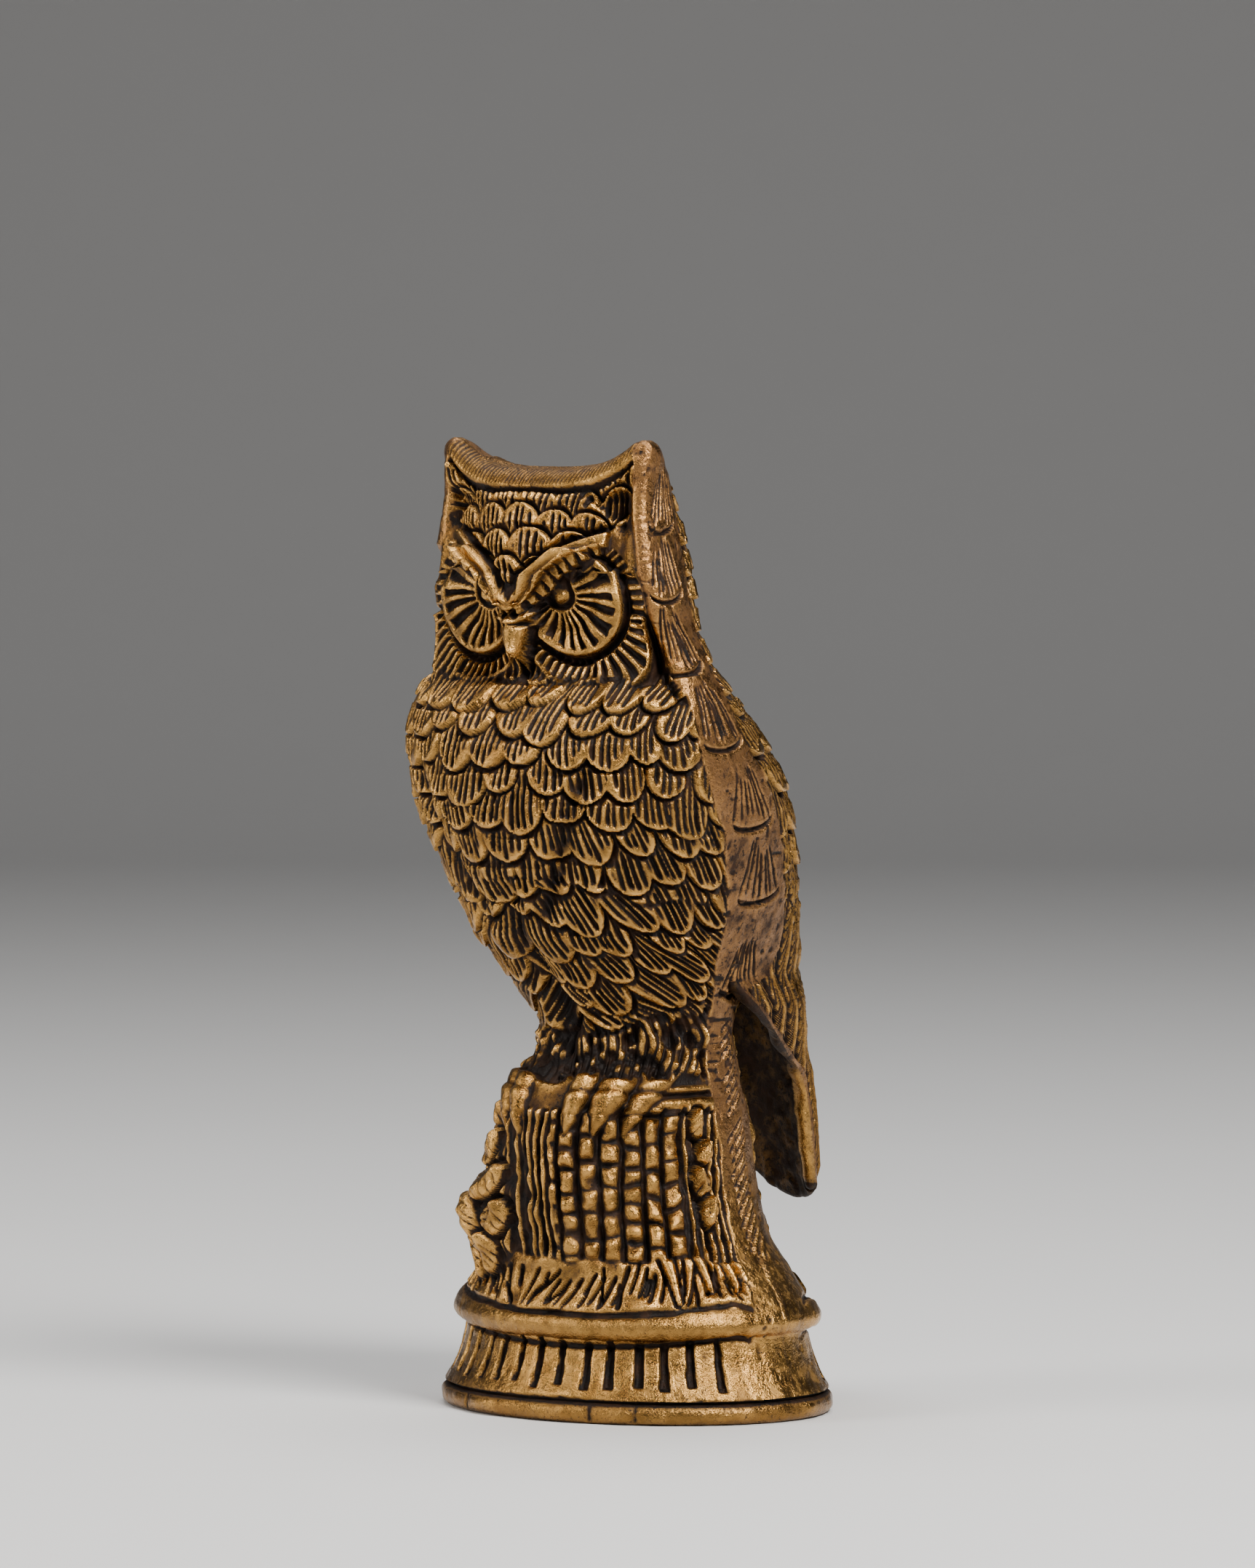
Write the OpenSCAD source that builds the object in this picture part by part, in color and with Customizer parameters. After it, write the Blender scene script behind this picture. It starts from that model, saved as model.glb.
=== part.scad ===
/* Hollow cast brass owl on a tree stump and an oval moulded plinth.
   The figure is a front casting and two rear castings, brazed together along
   a seam that runs up both sides and over the crown, and closed by a sole plate.
   Millimetres, +Z up, the owl faces -Y, origin on the resting face under the
   middle of the plinth. */

/* [Plinth] */
// Half length of the plinth, side to side
plinth_half_x = 28.3; // [26:0.1:31]
// Half width of the plinth, front to back
plinth_half_y = 22.6; // [21:0.1:25]
// Thickness of the sole plate and its rounded rim
sole_t = 2.8; // [2:0.1:4]

/* [Castings] */
// Wall thickness of the castings
wall = 2.2; // [1.6:0.1:2.6]
// Width of the brazed gap between the front and rear castings
seam_w = 1.2; // [0.6:0.1:2]
// Width of the gap of the lap joint under the back casting
lap_gap = 0.5; // [0.3:0.1:0.8]

/* [Owl] */
// Height of the ear tips
ear_z = 129.4; // [126:0.1:134]
// Height of the crown between the ears
crown_z = 124.6; // [122:0.1:126]
// Half distance between the ear tips
ear_half_x = 17.6; // [16:0.1:19]

/* [Tail] */
// Height of the lower end of the tail
tail_z = 27; // [24:0.5:30]
// Half width of the lower end of the tail
tail_half_x = 8.5; // [6:0.1:11]
// How much higher the tail's right corner ends than its left one
tail_slant = 3.8; // [0:0.1:6]

/* [Quality] */
// Facets across each half section
half_facets = 26; // [16:2:28]

/* [Hidden] */

brass = "#96733f";
worn_brass = "#a9855a";
sole_braze_t = 0.4;
skirt_z = sole_t + sole_braze_t;
head_z = 112;
seam_half = seam_w / 2;
slant_height = 16;

// Front half sections: height, y of the seam, half width, depth in front of the
// seam, exponent of the superellipse.
front_rows = [
    [skirt_z, 0, plinth_half_x - 0.9, plinth_half_y - 0.9, 2],
    [5.5, 0, plinth_half_x - 2.1, plinth_half_y - 2.1, 2],
    [8.5, 0, plinth_half_x - 3.2, plinth_half_y - 3.2, 2],
    [11, 0, plinth_half_x - 3.7, plinth_half_y - 3.7, 2],
    [11.6, 0, plinth_half_x - 2.9, plinth_half_y - 2.9, 2],
    [12.8, 0, plinth_half_x - 2.5, plinth_half_y - 2.5, 2],
    [14, 0, plinth_half_x - 3.2, plinth_half_y - 3.2, 2],
    [16, 0.6, 24, 19.8, 2],
    [19, 1.3, 21.5, 20, 2],
    [23, 1.8, 18.2, 20.5, 2.1],
    [30, 2.3, 15.6, 22, 2.2],
    [38, 2.4, 14.5, 22.5, 2.2],
    [44, 2.6, 13.8, 20.5, 2],
    [50, 2.8, 13.2, 17, 1.8],
    [58, 1, 16, 20, 2],
    [64, -0.4, 18.5, 24.5, 2],
    [70, -2.3, 20.5, 25, 2.1],
    [78, -5.2, 22.8, 25.4, 2.2],
    [85, -8.4, 23.9, 22.4, 2.3],
    [90, -10.9, 23.7, 19.1, 2.4],
    [94, -12.3, 23.1, 15.4, 2.4],
    [97, -13.5, 22.2, 11, 2.3],
    [99, -14.2, 21.4, 8.6, 2.2],
    [102, -15.2, 20.5, 7.3, 2.1],
    [105, -16.4, 19.9, 6.7, 2],
    [108, -17.3, 19.6, 6.4, 2],
    [109.8, -17.6, 19.3, 7.2, 2],
    [111, -17.8, 19, 8, 2],
    [head_z + 1, -17.9, 18.6, 8, 2],
    [116, -17.9, 17.9, 7.2, 2],
    [119, -17.8, 17.4, 6.2, 2],
    [121.5, -17.7, 17.5, 5.1, 2],
    [123.3, -17.5, 17.7, 3.8, 2],
    [124.2, -17.4, 17.8, 2.4, 2],
    [crown_z, -17.3, ear_half_x, seam_half, 2]
];

// Rear half sections of the head, the wings and the back, down to the tail:
// height, y of the free edge, half width, depth behind the edge, exponent.
back_rows = [
    [tail_z, 27.4, tail_half_x, 3.6, 2],
    [31, 26.6, tail_half_x + 0.3, 4.2, 2],
    [35, 25.6, tail_half_x + 0.7, 4.8, 2],
    [39, 24.6, tail_half_x + 1, 5.4, 2],
    [43, 22.4, tail_half_x + 1.6, 7.4, 2],
    [46, 17.4, 12, 11.2, 2],
    [50, 11, 14.6, 16.4, 2.1],
    [54, 5.2, 16.2, 21.2, 2.2],
    [57, 1.9, 16, 24.3, 2.2],
    [60, 1.1, 16.8, 24.3, 2.3],
    [64, 0.2, 18.5, 23.2, 2.3],
    [70, -1.7, 20.5, 23.6, 2.3],
    [78, -4.6, 22.8, 23.2, 2.3],
    [85, -7.8, 23.9, 22.2, 2.3],
    [90, -10.3, 23.7, 20.4, 2.2],
    [94, -11.7, 23.1, 16.8, 2.2],
    [97, -12.9, 22.2, 14.4, 2.2],
    [99, -13.6, 21.4, 13.4, 2.2],
    [102, -14.6, 20.5, 13.4, 2.2],
    [105, -15.8, 19.9, 14.6, 2.2],
    [108, -16.7, 19.6, 16, 2.2],
    [111, -17.2, 19, 16.6, 2.2],
    [116, -17.3, 17.9, 15.2, 2.2],
    [119, -17.2, 17.4, 12.8, 2.2],
    [121.5, -17.1, 17.5, 9.8, 2.2],
    [123.3, -16.9, 17.7, 6.8, 2.2],
    [124.2, -16.8, 17.8, 3.8, 2.2],
    [crown_z, -16.7, ear_half_x, seam_half, 2.2]
];

// Rear half sections of the plinth and the stump, with the flange that tucks
// inside the back casting.
lap_z = 57;
lap_inset = wall + lap_gap;
stump_rows = concat(
    [for (r = front_rows) if (r[0] < 15) [r[0], r[1] + seam_half, r[2], r[3], r[4]]],
    [
        [16, 1.2, 24, 17.6, 2],
        [19, 1.9, 21.5, 15.6, 2],
        [23, 2.4, 18.2, 13.6, 2],
        [30, 2.9, 15.6, 12.4, 2],
        [38, 3, 14.5, 11.8, 2],
        [44, 3.2, 13.8, 11.2, 1.6],
        [50, 3.4, 13.2, 11.4, 1.3],
        [54, 2.5, 14.2, 14.6, 1.35]
    ],
    [for (z = [lap_z, 60, 64])
        let (r = row_at(back_rows, z))
        [z, r[1], r[2] - lap_inset, r[3] - lap_inset - (z == lap_z ? 2.6 : 0), r[4]]]
);

// The number of the row just below height z
function span_of(rows, z, i = 0) =
    i >= len(rows) - 2 || z < rows[i + 1][0] ? i : span_of(rows, z, i + 1);
// The value of column c at height z, in proportion between two rows
function value_at(rows, z, c) =
    let (
        i = span_of(rows, z),
        a = rows[i],
        b = rows[i + 1],
        u = (z - a[0]) / (b[0] - a[0])
    )
    a[c] + (b[c] - a[c]) * u;
function row_at(rows, z) = [z, for (c = [1:4]) value_at(rows, z, c)];

function signed_power(v, p) = sign(v) * pow(abs(v), p);

// Height of the crown line at x, from the saddle up to the ear tips
function crown_at(x) = crown_z + (ear_z - crown_z) * pow(min(abs(x) / ear_half_x, 1), 3);

// Heights above the brow are stretched so that the top row follows the crown
function lift(z, x, top) =
    z <= head_z ? z : head_z + (z - head_z) * (top - head_z) / (crown_z - head_z);

// One point of a half section. side is -1 for the front and 1 for the rear,
// inset is the distance inside the outer surface.
function section_point(r, side, inset, a) =
    let (
        p = 2 / r[4],
        x = (r[2] - inset) * signed_power(cos(a), p),
        depth = max(r[3] - seam_half - inset, 0),
        y = r[1] + side * (side < 0 ? seam_half : 0) + side * depth * pow(sin(a), p),
        top = crown_at(x * r[2] / (r[2] - inset)) - inset
    )
    [x, y, lift(r[0], x, top)];

function section(r, side, inset) =
    [for (i = [0:half_facets]) section_point(r, side, inset, 180 * i / half_facets)];

function sheet(rows, side, inset) = [for (r = rows) section(r, side, inset)];

// A closed solid between two grids of points with the same number of rows and
// columns: the outer grid, the inner grid and the four edges.
module thick_sheet(outer, inner, flip = false) {
    n = len(outer);
    m = len(outer[0]);
    points = [for (g = [outer, inner]) each [for (row = g) each row]];
    faces = concat(
        [for (i = [0:n - 2], j = [0:m - 2]) each quad(i * m + j, 1, m, false)],
        [for (i = [0:n - 2], j = [0:m - 2]) each quad(n * m + i * m + j, 1, m, true)],
        [for (j = [0:m - 2]) each quad(j, 1, n * m, true)],
        [for (j = [0:m - 2]) each quad((n - 1) * m + j, 1, n * m, false)],
        [for (i = [0:n - 2]) each quad(i * m, m, n * m, false)],
        [for (i = [0:n - 2]) each quad(i * m + m - 1, m, n * m, true)]
    );
    polyhedron(points, flip ? [for (f = faces) [f[2], f[1], f[0]]] : faces, convexity = 8);
}

// Two triangles over the points k, k + a, k + b and k + a + b
function quad(k, a, b, reverse) =
    reverse ? [[k, k + a, k + a + b], [k, k + a + b, k + b]]
        : [[k, k + a + b, k + a], [k, k + b, k + a + b]];

// Face, breast, thighs, feet, and the front of the stump and the plinth
module front_casting() {
    color(brass)
        thick_sheet(sheet(front_rows, -1, 0), sheet(front_rows, -1, wall), true);
}

// Back of the head, nape, wings, back and the open scoop of the tail
module back_casting() {
    color(brass)
        thick_sheet(slanted(sheet(back_rows, 1, 0)), slanted(sheet(back_rows, 1, wall)));
}

// The lower end of the tail slants up to the owl's right, less and less further up
function slanted(grid) =
    [for (row = grid)
        let (half_x = abs(row[0][0]), free = max(1 - (row[0][2] - tail_z) / slant_height, 0))
        [for (p = row)
            let (across = max(min((0.6 - p[0] / half_x) / 1.4, 1), 0))
            p + [0, 0, tail_slant * free * free * (1 - cos(180 * across)) / 2]]];

// Rear of the plinth and the stump, with the flange under the back casting
module stump_back_casting() {
    color(brass)
        thick_sheet(sheet(stump_rows, 1, 0), sheet(stump_rows, 1, wall));
}

// Filler between the front and rear castings, up one side. side is 1 for the
// owl's left and -1 for its right.
module side_braze(side) {
    outer = [for (r = front_rows) [for (y = [0, seam_w]) braze_point(r, side, y, 0)]];
    inner = [for (r = front_rows) [for (y = [0, seam_w]) braze_point(r, side, y, wall)]];
    color(worn_brass)
        thick_sheet(outer, inner, side < 0);
}

function braze_point(r, side, y, inset) =
    let (p = section_point(r, -1, inset, side > 0 ? 0 : 180))
    [p[0], p[1] + y, p[2]];

// Filler along the crown, from one ear to the other
module seam_braze_crown() {
    last = front_rows[len(front_rows) - 1];
    outer = [for (p = section(last, -1, 0)) [for (y = [0, seam_w]) p + [0, y, 0]]];
    inner = [for (p = section(last, -1, wall)) [for (y = [0, seam_w]) p + [0, y, 0]]];
    color(worn_brass)
        thick_sheet(outer, inner);
}

// Filler in the lap joint between the stump's flange and the back casting
module tail_root_braze() {
    rows = [for (z = [60, 64]) row_at(back_rows, z)];
    color(worn_brass)
        thick_sheet(sheet(rows, 1, wall), sheet(rows, 1, lap_inset));
}

// Flat plate that closes the hollow; its rounded rim is the lowest moulding
module sole_plate() {
    rim = sole_t / 2;
    land = plinth_half_x - rim - 0.3;
    squeeze = plinth_half_y / plinth_half_x;
    color(worn_brass) {
        linear_extrude(sole_t)
            polygon([for (a = [0:4:356]) [land * cos(a), land * squeeze * sin(a)]]);
        oval()
            translate([0, 0, rim])
                rotate_extrude($fn = 180)
                    translate([plinth_half_x - rim, 0])
                        circle(r = rim, $fn = 32);
    }
}

// Children drawn round the plinth's long half axis, squeezed to its oval
module oval() {
    scale([1, plinth_half_y / plinth_half_x, 1])
        children();
}

// Filler between the sole plate and the skirt
module sole_braze() {
    width = 2.4;
    color(worn_brass)
        oval()
            translate([0, 0, sole_t])
                rotate_extrude($fn = 180)
                    translate([plinth_half_x - 1.4 - width, 0])
                        square([width, sole_braze_t]);
}

front_casting();
back_casting();
stump_back_casting();
side_braze(1);  // seam_braze_left
side_braze(-1);  // seam_braze_right
seam_braze_crown();
tail_root_braze();
sole_plate();
sole_braze();
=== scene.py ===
"""Looks of the cast brass owl on a stump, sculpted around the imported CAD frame.

Lengths in the sculpting code are millimetres and become metres in add_mesh.
Each casting is a grid of points swept from the same sections as the CAD, pushed
out or in along its normals by the relief functions.
"""

import math

import bpy
import numpy as np
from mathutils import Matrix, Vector


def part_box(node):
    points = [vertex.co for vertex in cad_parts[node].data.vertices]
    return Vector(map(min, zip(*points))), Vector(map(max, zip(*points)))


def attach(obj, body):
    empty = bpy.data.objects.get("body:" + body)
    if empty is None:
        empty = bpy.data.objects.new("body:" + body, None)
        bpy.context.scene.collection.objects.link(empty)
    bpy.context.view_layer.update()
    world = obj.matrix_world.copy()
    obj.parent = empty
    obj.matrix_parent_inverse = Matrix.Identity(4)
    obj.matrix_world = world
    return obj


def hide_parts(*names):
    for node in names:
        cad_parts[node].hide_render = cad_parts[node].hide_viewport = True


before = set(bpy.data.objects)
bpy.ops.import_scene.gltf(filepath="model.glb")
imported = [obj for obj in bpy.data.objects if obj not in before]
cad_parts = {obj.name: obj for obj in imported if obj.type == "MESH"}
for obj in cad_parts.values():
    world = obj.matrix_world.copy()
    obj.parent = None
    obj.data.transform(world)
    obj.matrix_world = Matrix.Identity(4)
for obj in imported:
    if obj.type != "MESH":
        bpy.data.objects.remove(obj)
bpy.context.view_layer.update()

# ---------------------------------------------------------------- driving sizes

M_PER_MM = 0.001


def box_mm(node):
    """Lowest and highest corners of a CAD node in millimetres."""
    low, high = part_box(node)
    return np.array(low) / M_PER_MM, np.array(high) / M_PER_MM


PLINTH_X, PLINTH_Y, SOLE_T = box_mm("sole_plate")[1]
EAR_X, _, EAR_Z = box_mm("seam_braze_crown")[1]
TAIL_Z = box_mm("back_casting")[0][2]
SKIRT_Z = SOLE_T + 0.4
# Heights of the lap joint, of the brow and of the crown's low middle.
LAP_Z = 57.0
HEAD_Z = 112.0
CROWN_Z = 124.6
SEAM_W = 1.2
SEAM_HALF = SEAM_W / 2
WALL = 2.2
LAP_INSET = WALL + 0.5
# The tail's end slants up to the owl's right, and its corners are lifted a little.
# Both fade out over TAIL_ROUND.
TAIL_SLANT = 3.8
TAIL_CORNER = 1.2
TAIL_ROUND = 16.0

COLUMNS_FRONT = 380
COLUMNS_BACK = 290
COLUMNS_STUMP = 200

# The plinth's mouldings: height and distance inside the sole's rim.
PLINTH_PROFILE = [
    (SKIRT_Z, 0.8), (5.5, 2.1), (8.5, 3.2), (10.9, 3.6), (11.6, 2.9), (12.7, 2.5), (13.8, 2.9)
]

# Front half sections: height, y of the seam, half width, depth in front of the
# seam, exponent of the superellipse.
FRONT_ROWS = [
    *((z, 0, PLINTH_X - inset, PLINTH_Y - inset, 2) for z, inset in PLINTH_PROFILE),
    (16, 0.6, 24, 19.8, 2),
    (19, 1.3, 21.5, 20, 2),
    (23, 1.8, 18.2, 20.5, 2.1),
    (30, 2.3, 15.6, 22, 2.2),
    (38, 2.4, 14.5, 22.5, 2.2),
    (44, 2.6, 13.8, 20.5, 2),
    (50, 2.8, 13.2, 17, 1.8),
    (58, 1, 16, 20, 2),
    (64, -0.4, 18.5, 24.5, 2),
    (70, -2.3, 20.5, 25, 2.1),
    (78, -5.2, 22.8, 25.4, 2.2),
    (85, -8.4, 23.9, 22.4, 2.3),
    (90, -10.9, 23.7, 19.1, 2.4),
    (94, -12.3, 23.1, 15.4, 2.4),
    (97, -13.5, 22.2, 11, 2.3),
    (99, -14.2, 21.4, 8.6, 2.2),
    (102, -15.2, 20.5, 7.3, 2.1),
    (105, -16.4, 19.9, 6.7, 2),
    (108, -17.3, 19.6, 6.4, 2),
    (109.8, -17.6, 19.3, 7.2, 2),
    (111, -17.8, 19, 8, 2),
    (113, -17.9, 18.6, 8, 2),
    (116, -17.9, 17.9, 7.2, 2),
    (119, -17.8, 17.4, 6.2, 2),
    (121.5, -17.7, 17.5, 5.1, 2),
    (123.3, -17.5, 17.7, 3.8, 2),
    (124.2, -17.4, 17.8, 2.4, 2),
    (CROWN_Z, -17.3, EAR_X, SEAM_HALF, 2),
]

# Rear half sections of the back, the wings and the head above the lap joint.
BACK_ROWS = [
    (LAP_Z, 1.9, 16, 24.3, 2.2),
    (60, 1.1, 16.8, 24.3, 2.3),
    (64, 0.2, 18.5, 23.2, 2.3),
    (70, -1.7, 20.5, 23.6, 2.3),
    (78, -4.6, 22.8, 23.2, 2.3),
    (85, -7.8, 23.9, 22.2, 2.3),
    (90, -10.3, 23.7, 20.4, 2.2),
    (94, -11.7, 23.1, 16.8, 2.2),
    (97, -12.9, 22.2, 14.4, 2.2),
    (99, -13.6, 21.4, 13.4, 2.2),
    (102, -14.6, 20.5, 13.4, 2.2),
    (105, -15.8, 19.9, 14.6, 2.2),
    (108, -16.7, 19.6, 16, 2.2),
    (111, -17.2, 19, 16.6, 2.2),
    (116, -17.3, 17.9, 15.2, 2.2),
    (119, -17.2, 17.4, 12.8, 2.2),
    (121.5, -17.1, 17.5, 9.8, 2.2),
    (123.3, -16.9, 17.7, 6.8, 2.2),
    (124.2, -16.8, 17.8, 3.8, 2.2),
    (CROWN_Z, -16.7, EAR_X, SEAM_HALF, 2.2),
]

# The free wing edges and the tail, up to the lap joint, with the same columns.
TAIL_ROWS = [
    (TAIL_Z, 27.4, 8.5, 3.6, 2),
    (31, 26.6, 8.8, 4.2, 2),
    (35, 25.6, 9.2, 4.8, 2),
    (39, 24.6, 9.5, 5.4, 2),
    (43, 22.4, 10.1, 7.4, 2),
    (46, 17.4, 12, 11.2, 2),
    (50, 11, 14.6, 16.4, 2.1),
    (54, 5.2, 16.2, 21.2, 2.2),
    (LAP_Z, 1.9, 16, 24.3, 2.2),
]

# Rear half sections of the plinth and the stump, up to the flange of the lap joint.
STUMP_ROWS = [
    *((z, seam_y + SEAM_HALF, x, y, n) for z, seam_y, x, y, n in FRONT_ROWS if z < 15),
    (16, 1.2, 24, 17.4, 2),
    (19, 1.9, 21.5, 15.6, 2),
    (23, 2.4, 18.2, 13.6, 2),
    (30, 2.9, 15.6, 12.4, 2),
    (38, 3, 14.5, 11.8, 2),
    (44, 3.2, 13.8, 11.2, 1.6),
    (50, 3.4, 13.2, 11.4, 1.3),
    (54, 2.5, 14.2, 14.6, 1.35),
    (LAP_Z, 1.9, 13.3, 19, 2.2),
    (60, 1.1, 14.1, 21.6, 2.3),
    (63, 0.4, 15.4, 20.9, 2.3),
]


# ------------------------------------------------------------ numeric helpers


def monotone(xs, ys, x):
    """Monotone cubic interpolation of the points (xs, ys) at x."""
    xs, ys = np.asarray(xs, float), np.asarray(ys, float)
    steps = np.diff(xs)
    slopes = np.diff(ys) / steps
    tangents = np.zeros_like(ys)
    same = slopes[:-1] * slopes[1:] > 0
    w1 = 2 * steps[1:] + steps[:-1]
    w2 = steps[1:] + 2 * steps[:-1]
    with np.errstate(divide="ignore", invalid="ignore"):
        mean = (w1 + w2) / (w1 / slopes[:-1] + w2 / slopes[1:])
    tangents[1:-1] = np.where(same, mean, 0)
    tangents[0], tangents[-1] = slopes[0], slopes[-1]
    x = np.clip(x, xs[0], xs[-1])
    i = np.clip(np.searchsorted(xs, x, side="right") - 1, 0, len(xs) - 2)
    u = (x - xs[i]) / steps[i]
    a = (1 + 2 * u) * (1 - u) ** 2 * ys[i] + u * (1 - u) ** 2 * steps[i] * tangents[i]
    b = u * u * (3 - 2 * u) * ys[i + 1] + u * u * (u - 1) * steps[i] * tangents[i + 1]
    return a + b


def rows_at(rows, z):
    """The columns of a section table after the height, at heights z."""
    table = np.array(rows, float)
    return [monotone(table[:, 0], table[:, c], z) for c in range(1, 5)]


def step(low, high, x):
    """Smooth step from 0 at low to 1 at high."""
    u = np.clip((x - low) / (high - low), 0, 1)
    return u * u * (3 - 2 * u)


def band(low, high, soft, x):
    """1 between low and high, falling to 0 over soft outside them."""
    return step(low - soft, low, x) * (1 - step(high, high + soft, x))


def bump(distance, width):
    """A rounded bump of height 1 at distance 0."""
    return np.exp(-((distance / width) ** 2))


LATTICE = np.random.default_rng(11).random((32, 32, 32))


def noise(p, size, seed=0):
    """Smooth 3-D noise from -1 to 1, with features about size across."""
    q = p / size + 17.3 * seed
    base = np.floor(q).astype(int)
    f = q - base
    f = f * f * (3 - 2 * f)
    total = 0
    for dx in (0, 1):
        for dy in (0, 1):
            for dz in (0, 1):
                corner = LATTICE[
                    (base[..., 0] + dx) % 32, (base[..., 1] + dy) % 32, (base[..., 2] + dz) % 32
                ]
                weight = (
                    (f[..., 0] if dx else 1 - f[..., 0])
                    * (f[..., 1] if dy else 1 - f[..., 1])
                    * (f[..., 2] if dz else 1 - f[..., 2])
                )
                total = total + corner * weight
    return 2 * total - 1


def chance(i, j, seed):
    """A fixed random value from 0 to 1 for the cell i, j."""
    return LATTICE[np.asarray(i, int) % 32, np.asarray(j, int) % 32, seed % 32]


def blur(field, reach):
    """Box blur, three passes, over reach cells each way."""
    for _ in range(3):
        for axis in (0, 1):
            padded = np.concatenate(
                [
                    np.repeat(field.take([0], axis), reach + 1, axis),
                    field,
                    np.repeat(field.take([-1], axis), reach, axis),
                ],
                axis,
            )
            total = np.cumsum(padded, axis)
            n = field.shape[axis]
            upper = total.take(range(2 * reach + 1, 2 * reach + 1 + n), axis)
            lower = total.take(range(n), axis)
            field = (upper - lower) / (2 * reach + 1)
    return field


# ------------------------------------------------------------------- the grids


def crown_at(x):
    """Height of the crown line at x, from the saddle up to the rounded ear tips."""
    share = np.minimum(np.abs(x) / EAR_X, 1)
    rolled = 2.6 * np.maximum(share - 0.86, 0) ** 2 / 0.14**2
    return CROWN_Z + (EAR_Z - CROWN_Z + 0.9) * share**3.4 - rolled


def lift(z, x):
    """Heights above the brow are stretched to follow the crown."""
    stretched = HEAD_Z + (z - HEAD_Z) * (crown_at(x) - HEAD_Z) / (CROWN_Z - HEAD_Z)
    return np.where(z <= HEAD_Z, z, stretched)


def tail_rise(points, half_x):
    """How far the tail's end is raised above a level end, fading out upwards."""
    fade = np.clip(1 - (points[..., 2] - TAIL_Z) / TAIL_ROUND, 0, 1) ** 2
    side = points[..., 0] / half_x
    across = np.clip((0.6 - side) / 1.4, 0, 1)
    slant = TAIL_SLANT * (1 - np.cos(math.pi * across)) / 2
    return fade * (slant + TAIL_CORNER * np.abs(side) ** 10)


def half_sections(rows, heights, side, columns, edge_offset=0.0, crowding=0.0):
    """A grid of points on a half shell. side is -1 for the front, 1 for the rear.

    Returns the points, the arc length along each section from its +X end, and
    each section's whole length. Columns crowd towards the seam by crowding.
    """
    seam_y, half_x, depth, power = (c[:, None] for c in rows_at(rows, heights))
    angle = np.linspace(0, math.pi, 721)[None, :]
    p = 2 / power
    cosine, sine = np.cos(angle), np.abs(np.sin(angle))
    x = half_x * np.sign(cosine) * np.abs(cosine) ** p
    reach = np.maximum(depth - SEAM_HALF, 0)
    y = seam_y + side * edge_offset + side * reach * sine**p
    length = np.concatenate(
        [np.zeros((len(heights), 1)), np.cumsum(np.hypot(np.diff(x), np.diff(y)), 1)], 1
    )
    points = np.zeros((len(heights), columns + 1, 3))
    arc = np.zeros((len(heights), columns + 1))
    even = np.linspace(0, 1, columns + 1)
    share = even - crowding / (2 * math.pi) * np.sin(2 * math.pi * even)
    for i in range(len(heights)):
        arc[i] = share * length[i, -1]
        points[i, :, 0] = np.interp(arc[i], length[i], x[i])
        points[i, :, 1] = np.interp(arc[i], length[i], y[i])
    points[..., 2] = lift(heights[:, None], points[..., 0])
    if side > 0 and heights[0] == TAIL_Z:
        points[..., 2] += tail_rise(points, half_x)
    return points, arc, length[:, -1:]


def normals_of(points, outward):
    """Unit normals of a grid, pointing to the outward side."""
    du = np.gradient(points, axis=1)
    dv = np.gradient(points, axis=0)
    n = np.cross(dv, du) * outward
    size = np.linalg.norm(n, axis=-1, keepdims=True)
    return n / np.maximum(size, 1e-9)


def even_heights(rows, low, high, spacing, side):
    """Heights from low to high, evenly spaced along the middle of the shell."""
    z = np.linspace(low, high, 2000)
    seam_y, _, depth, _ = rows_at(rows, z)
    run = np.hypot(np.diff(z), np.diff(seam_y + side * depth))
    length = np.concatenate([[0], np.cumsum(run)])
    count = max(int(length[-1] / spacing), 2)
    return np.interp(np.linspace(0, length[-1], count + 1), length, z)


# ------------------------------------------------------------- relief patterns


def upright(u, v):
    """The tilt of feathers that all point straight down."""
    return 0 * u


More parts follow.
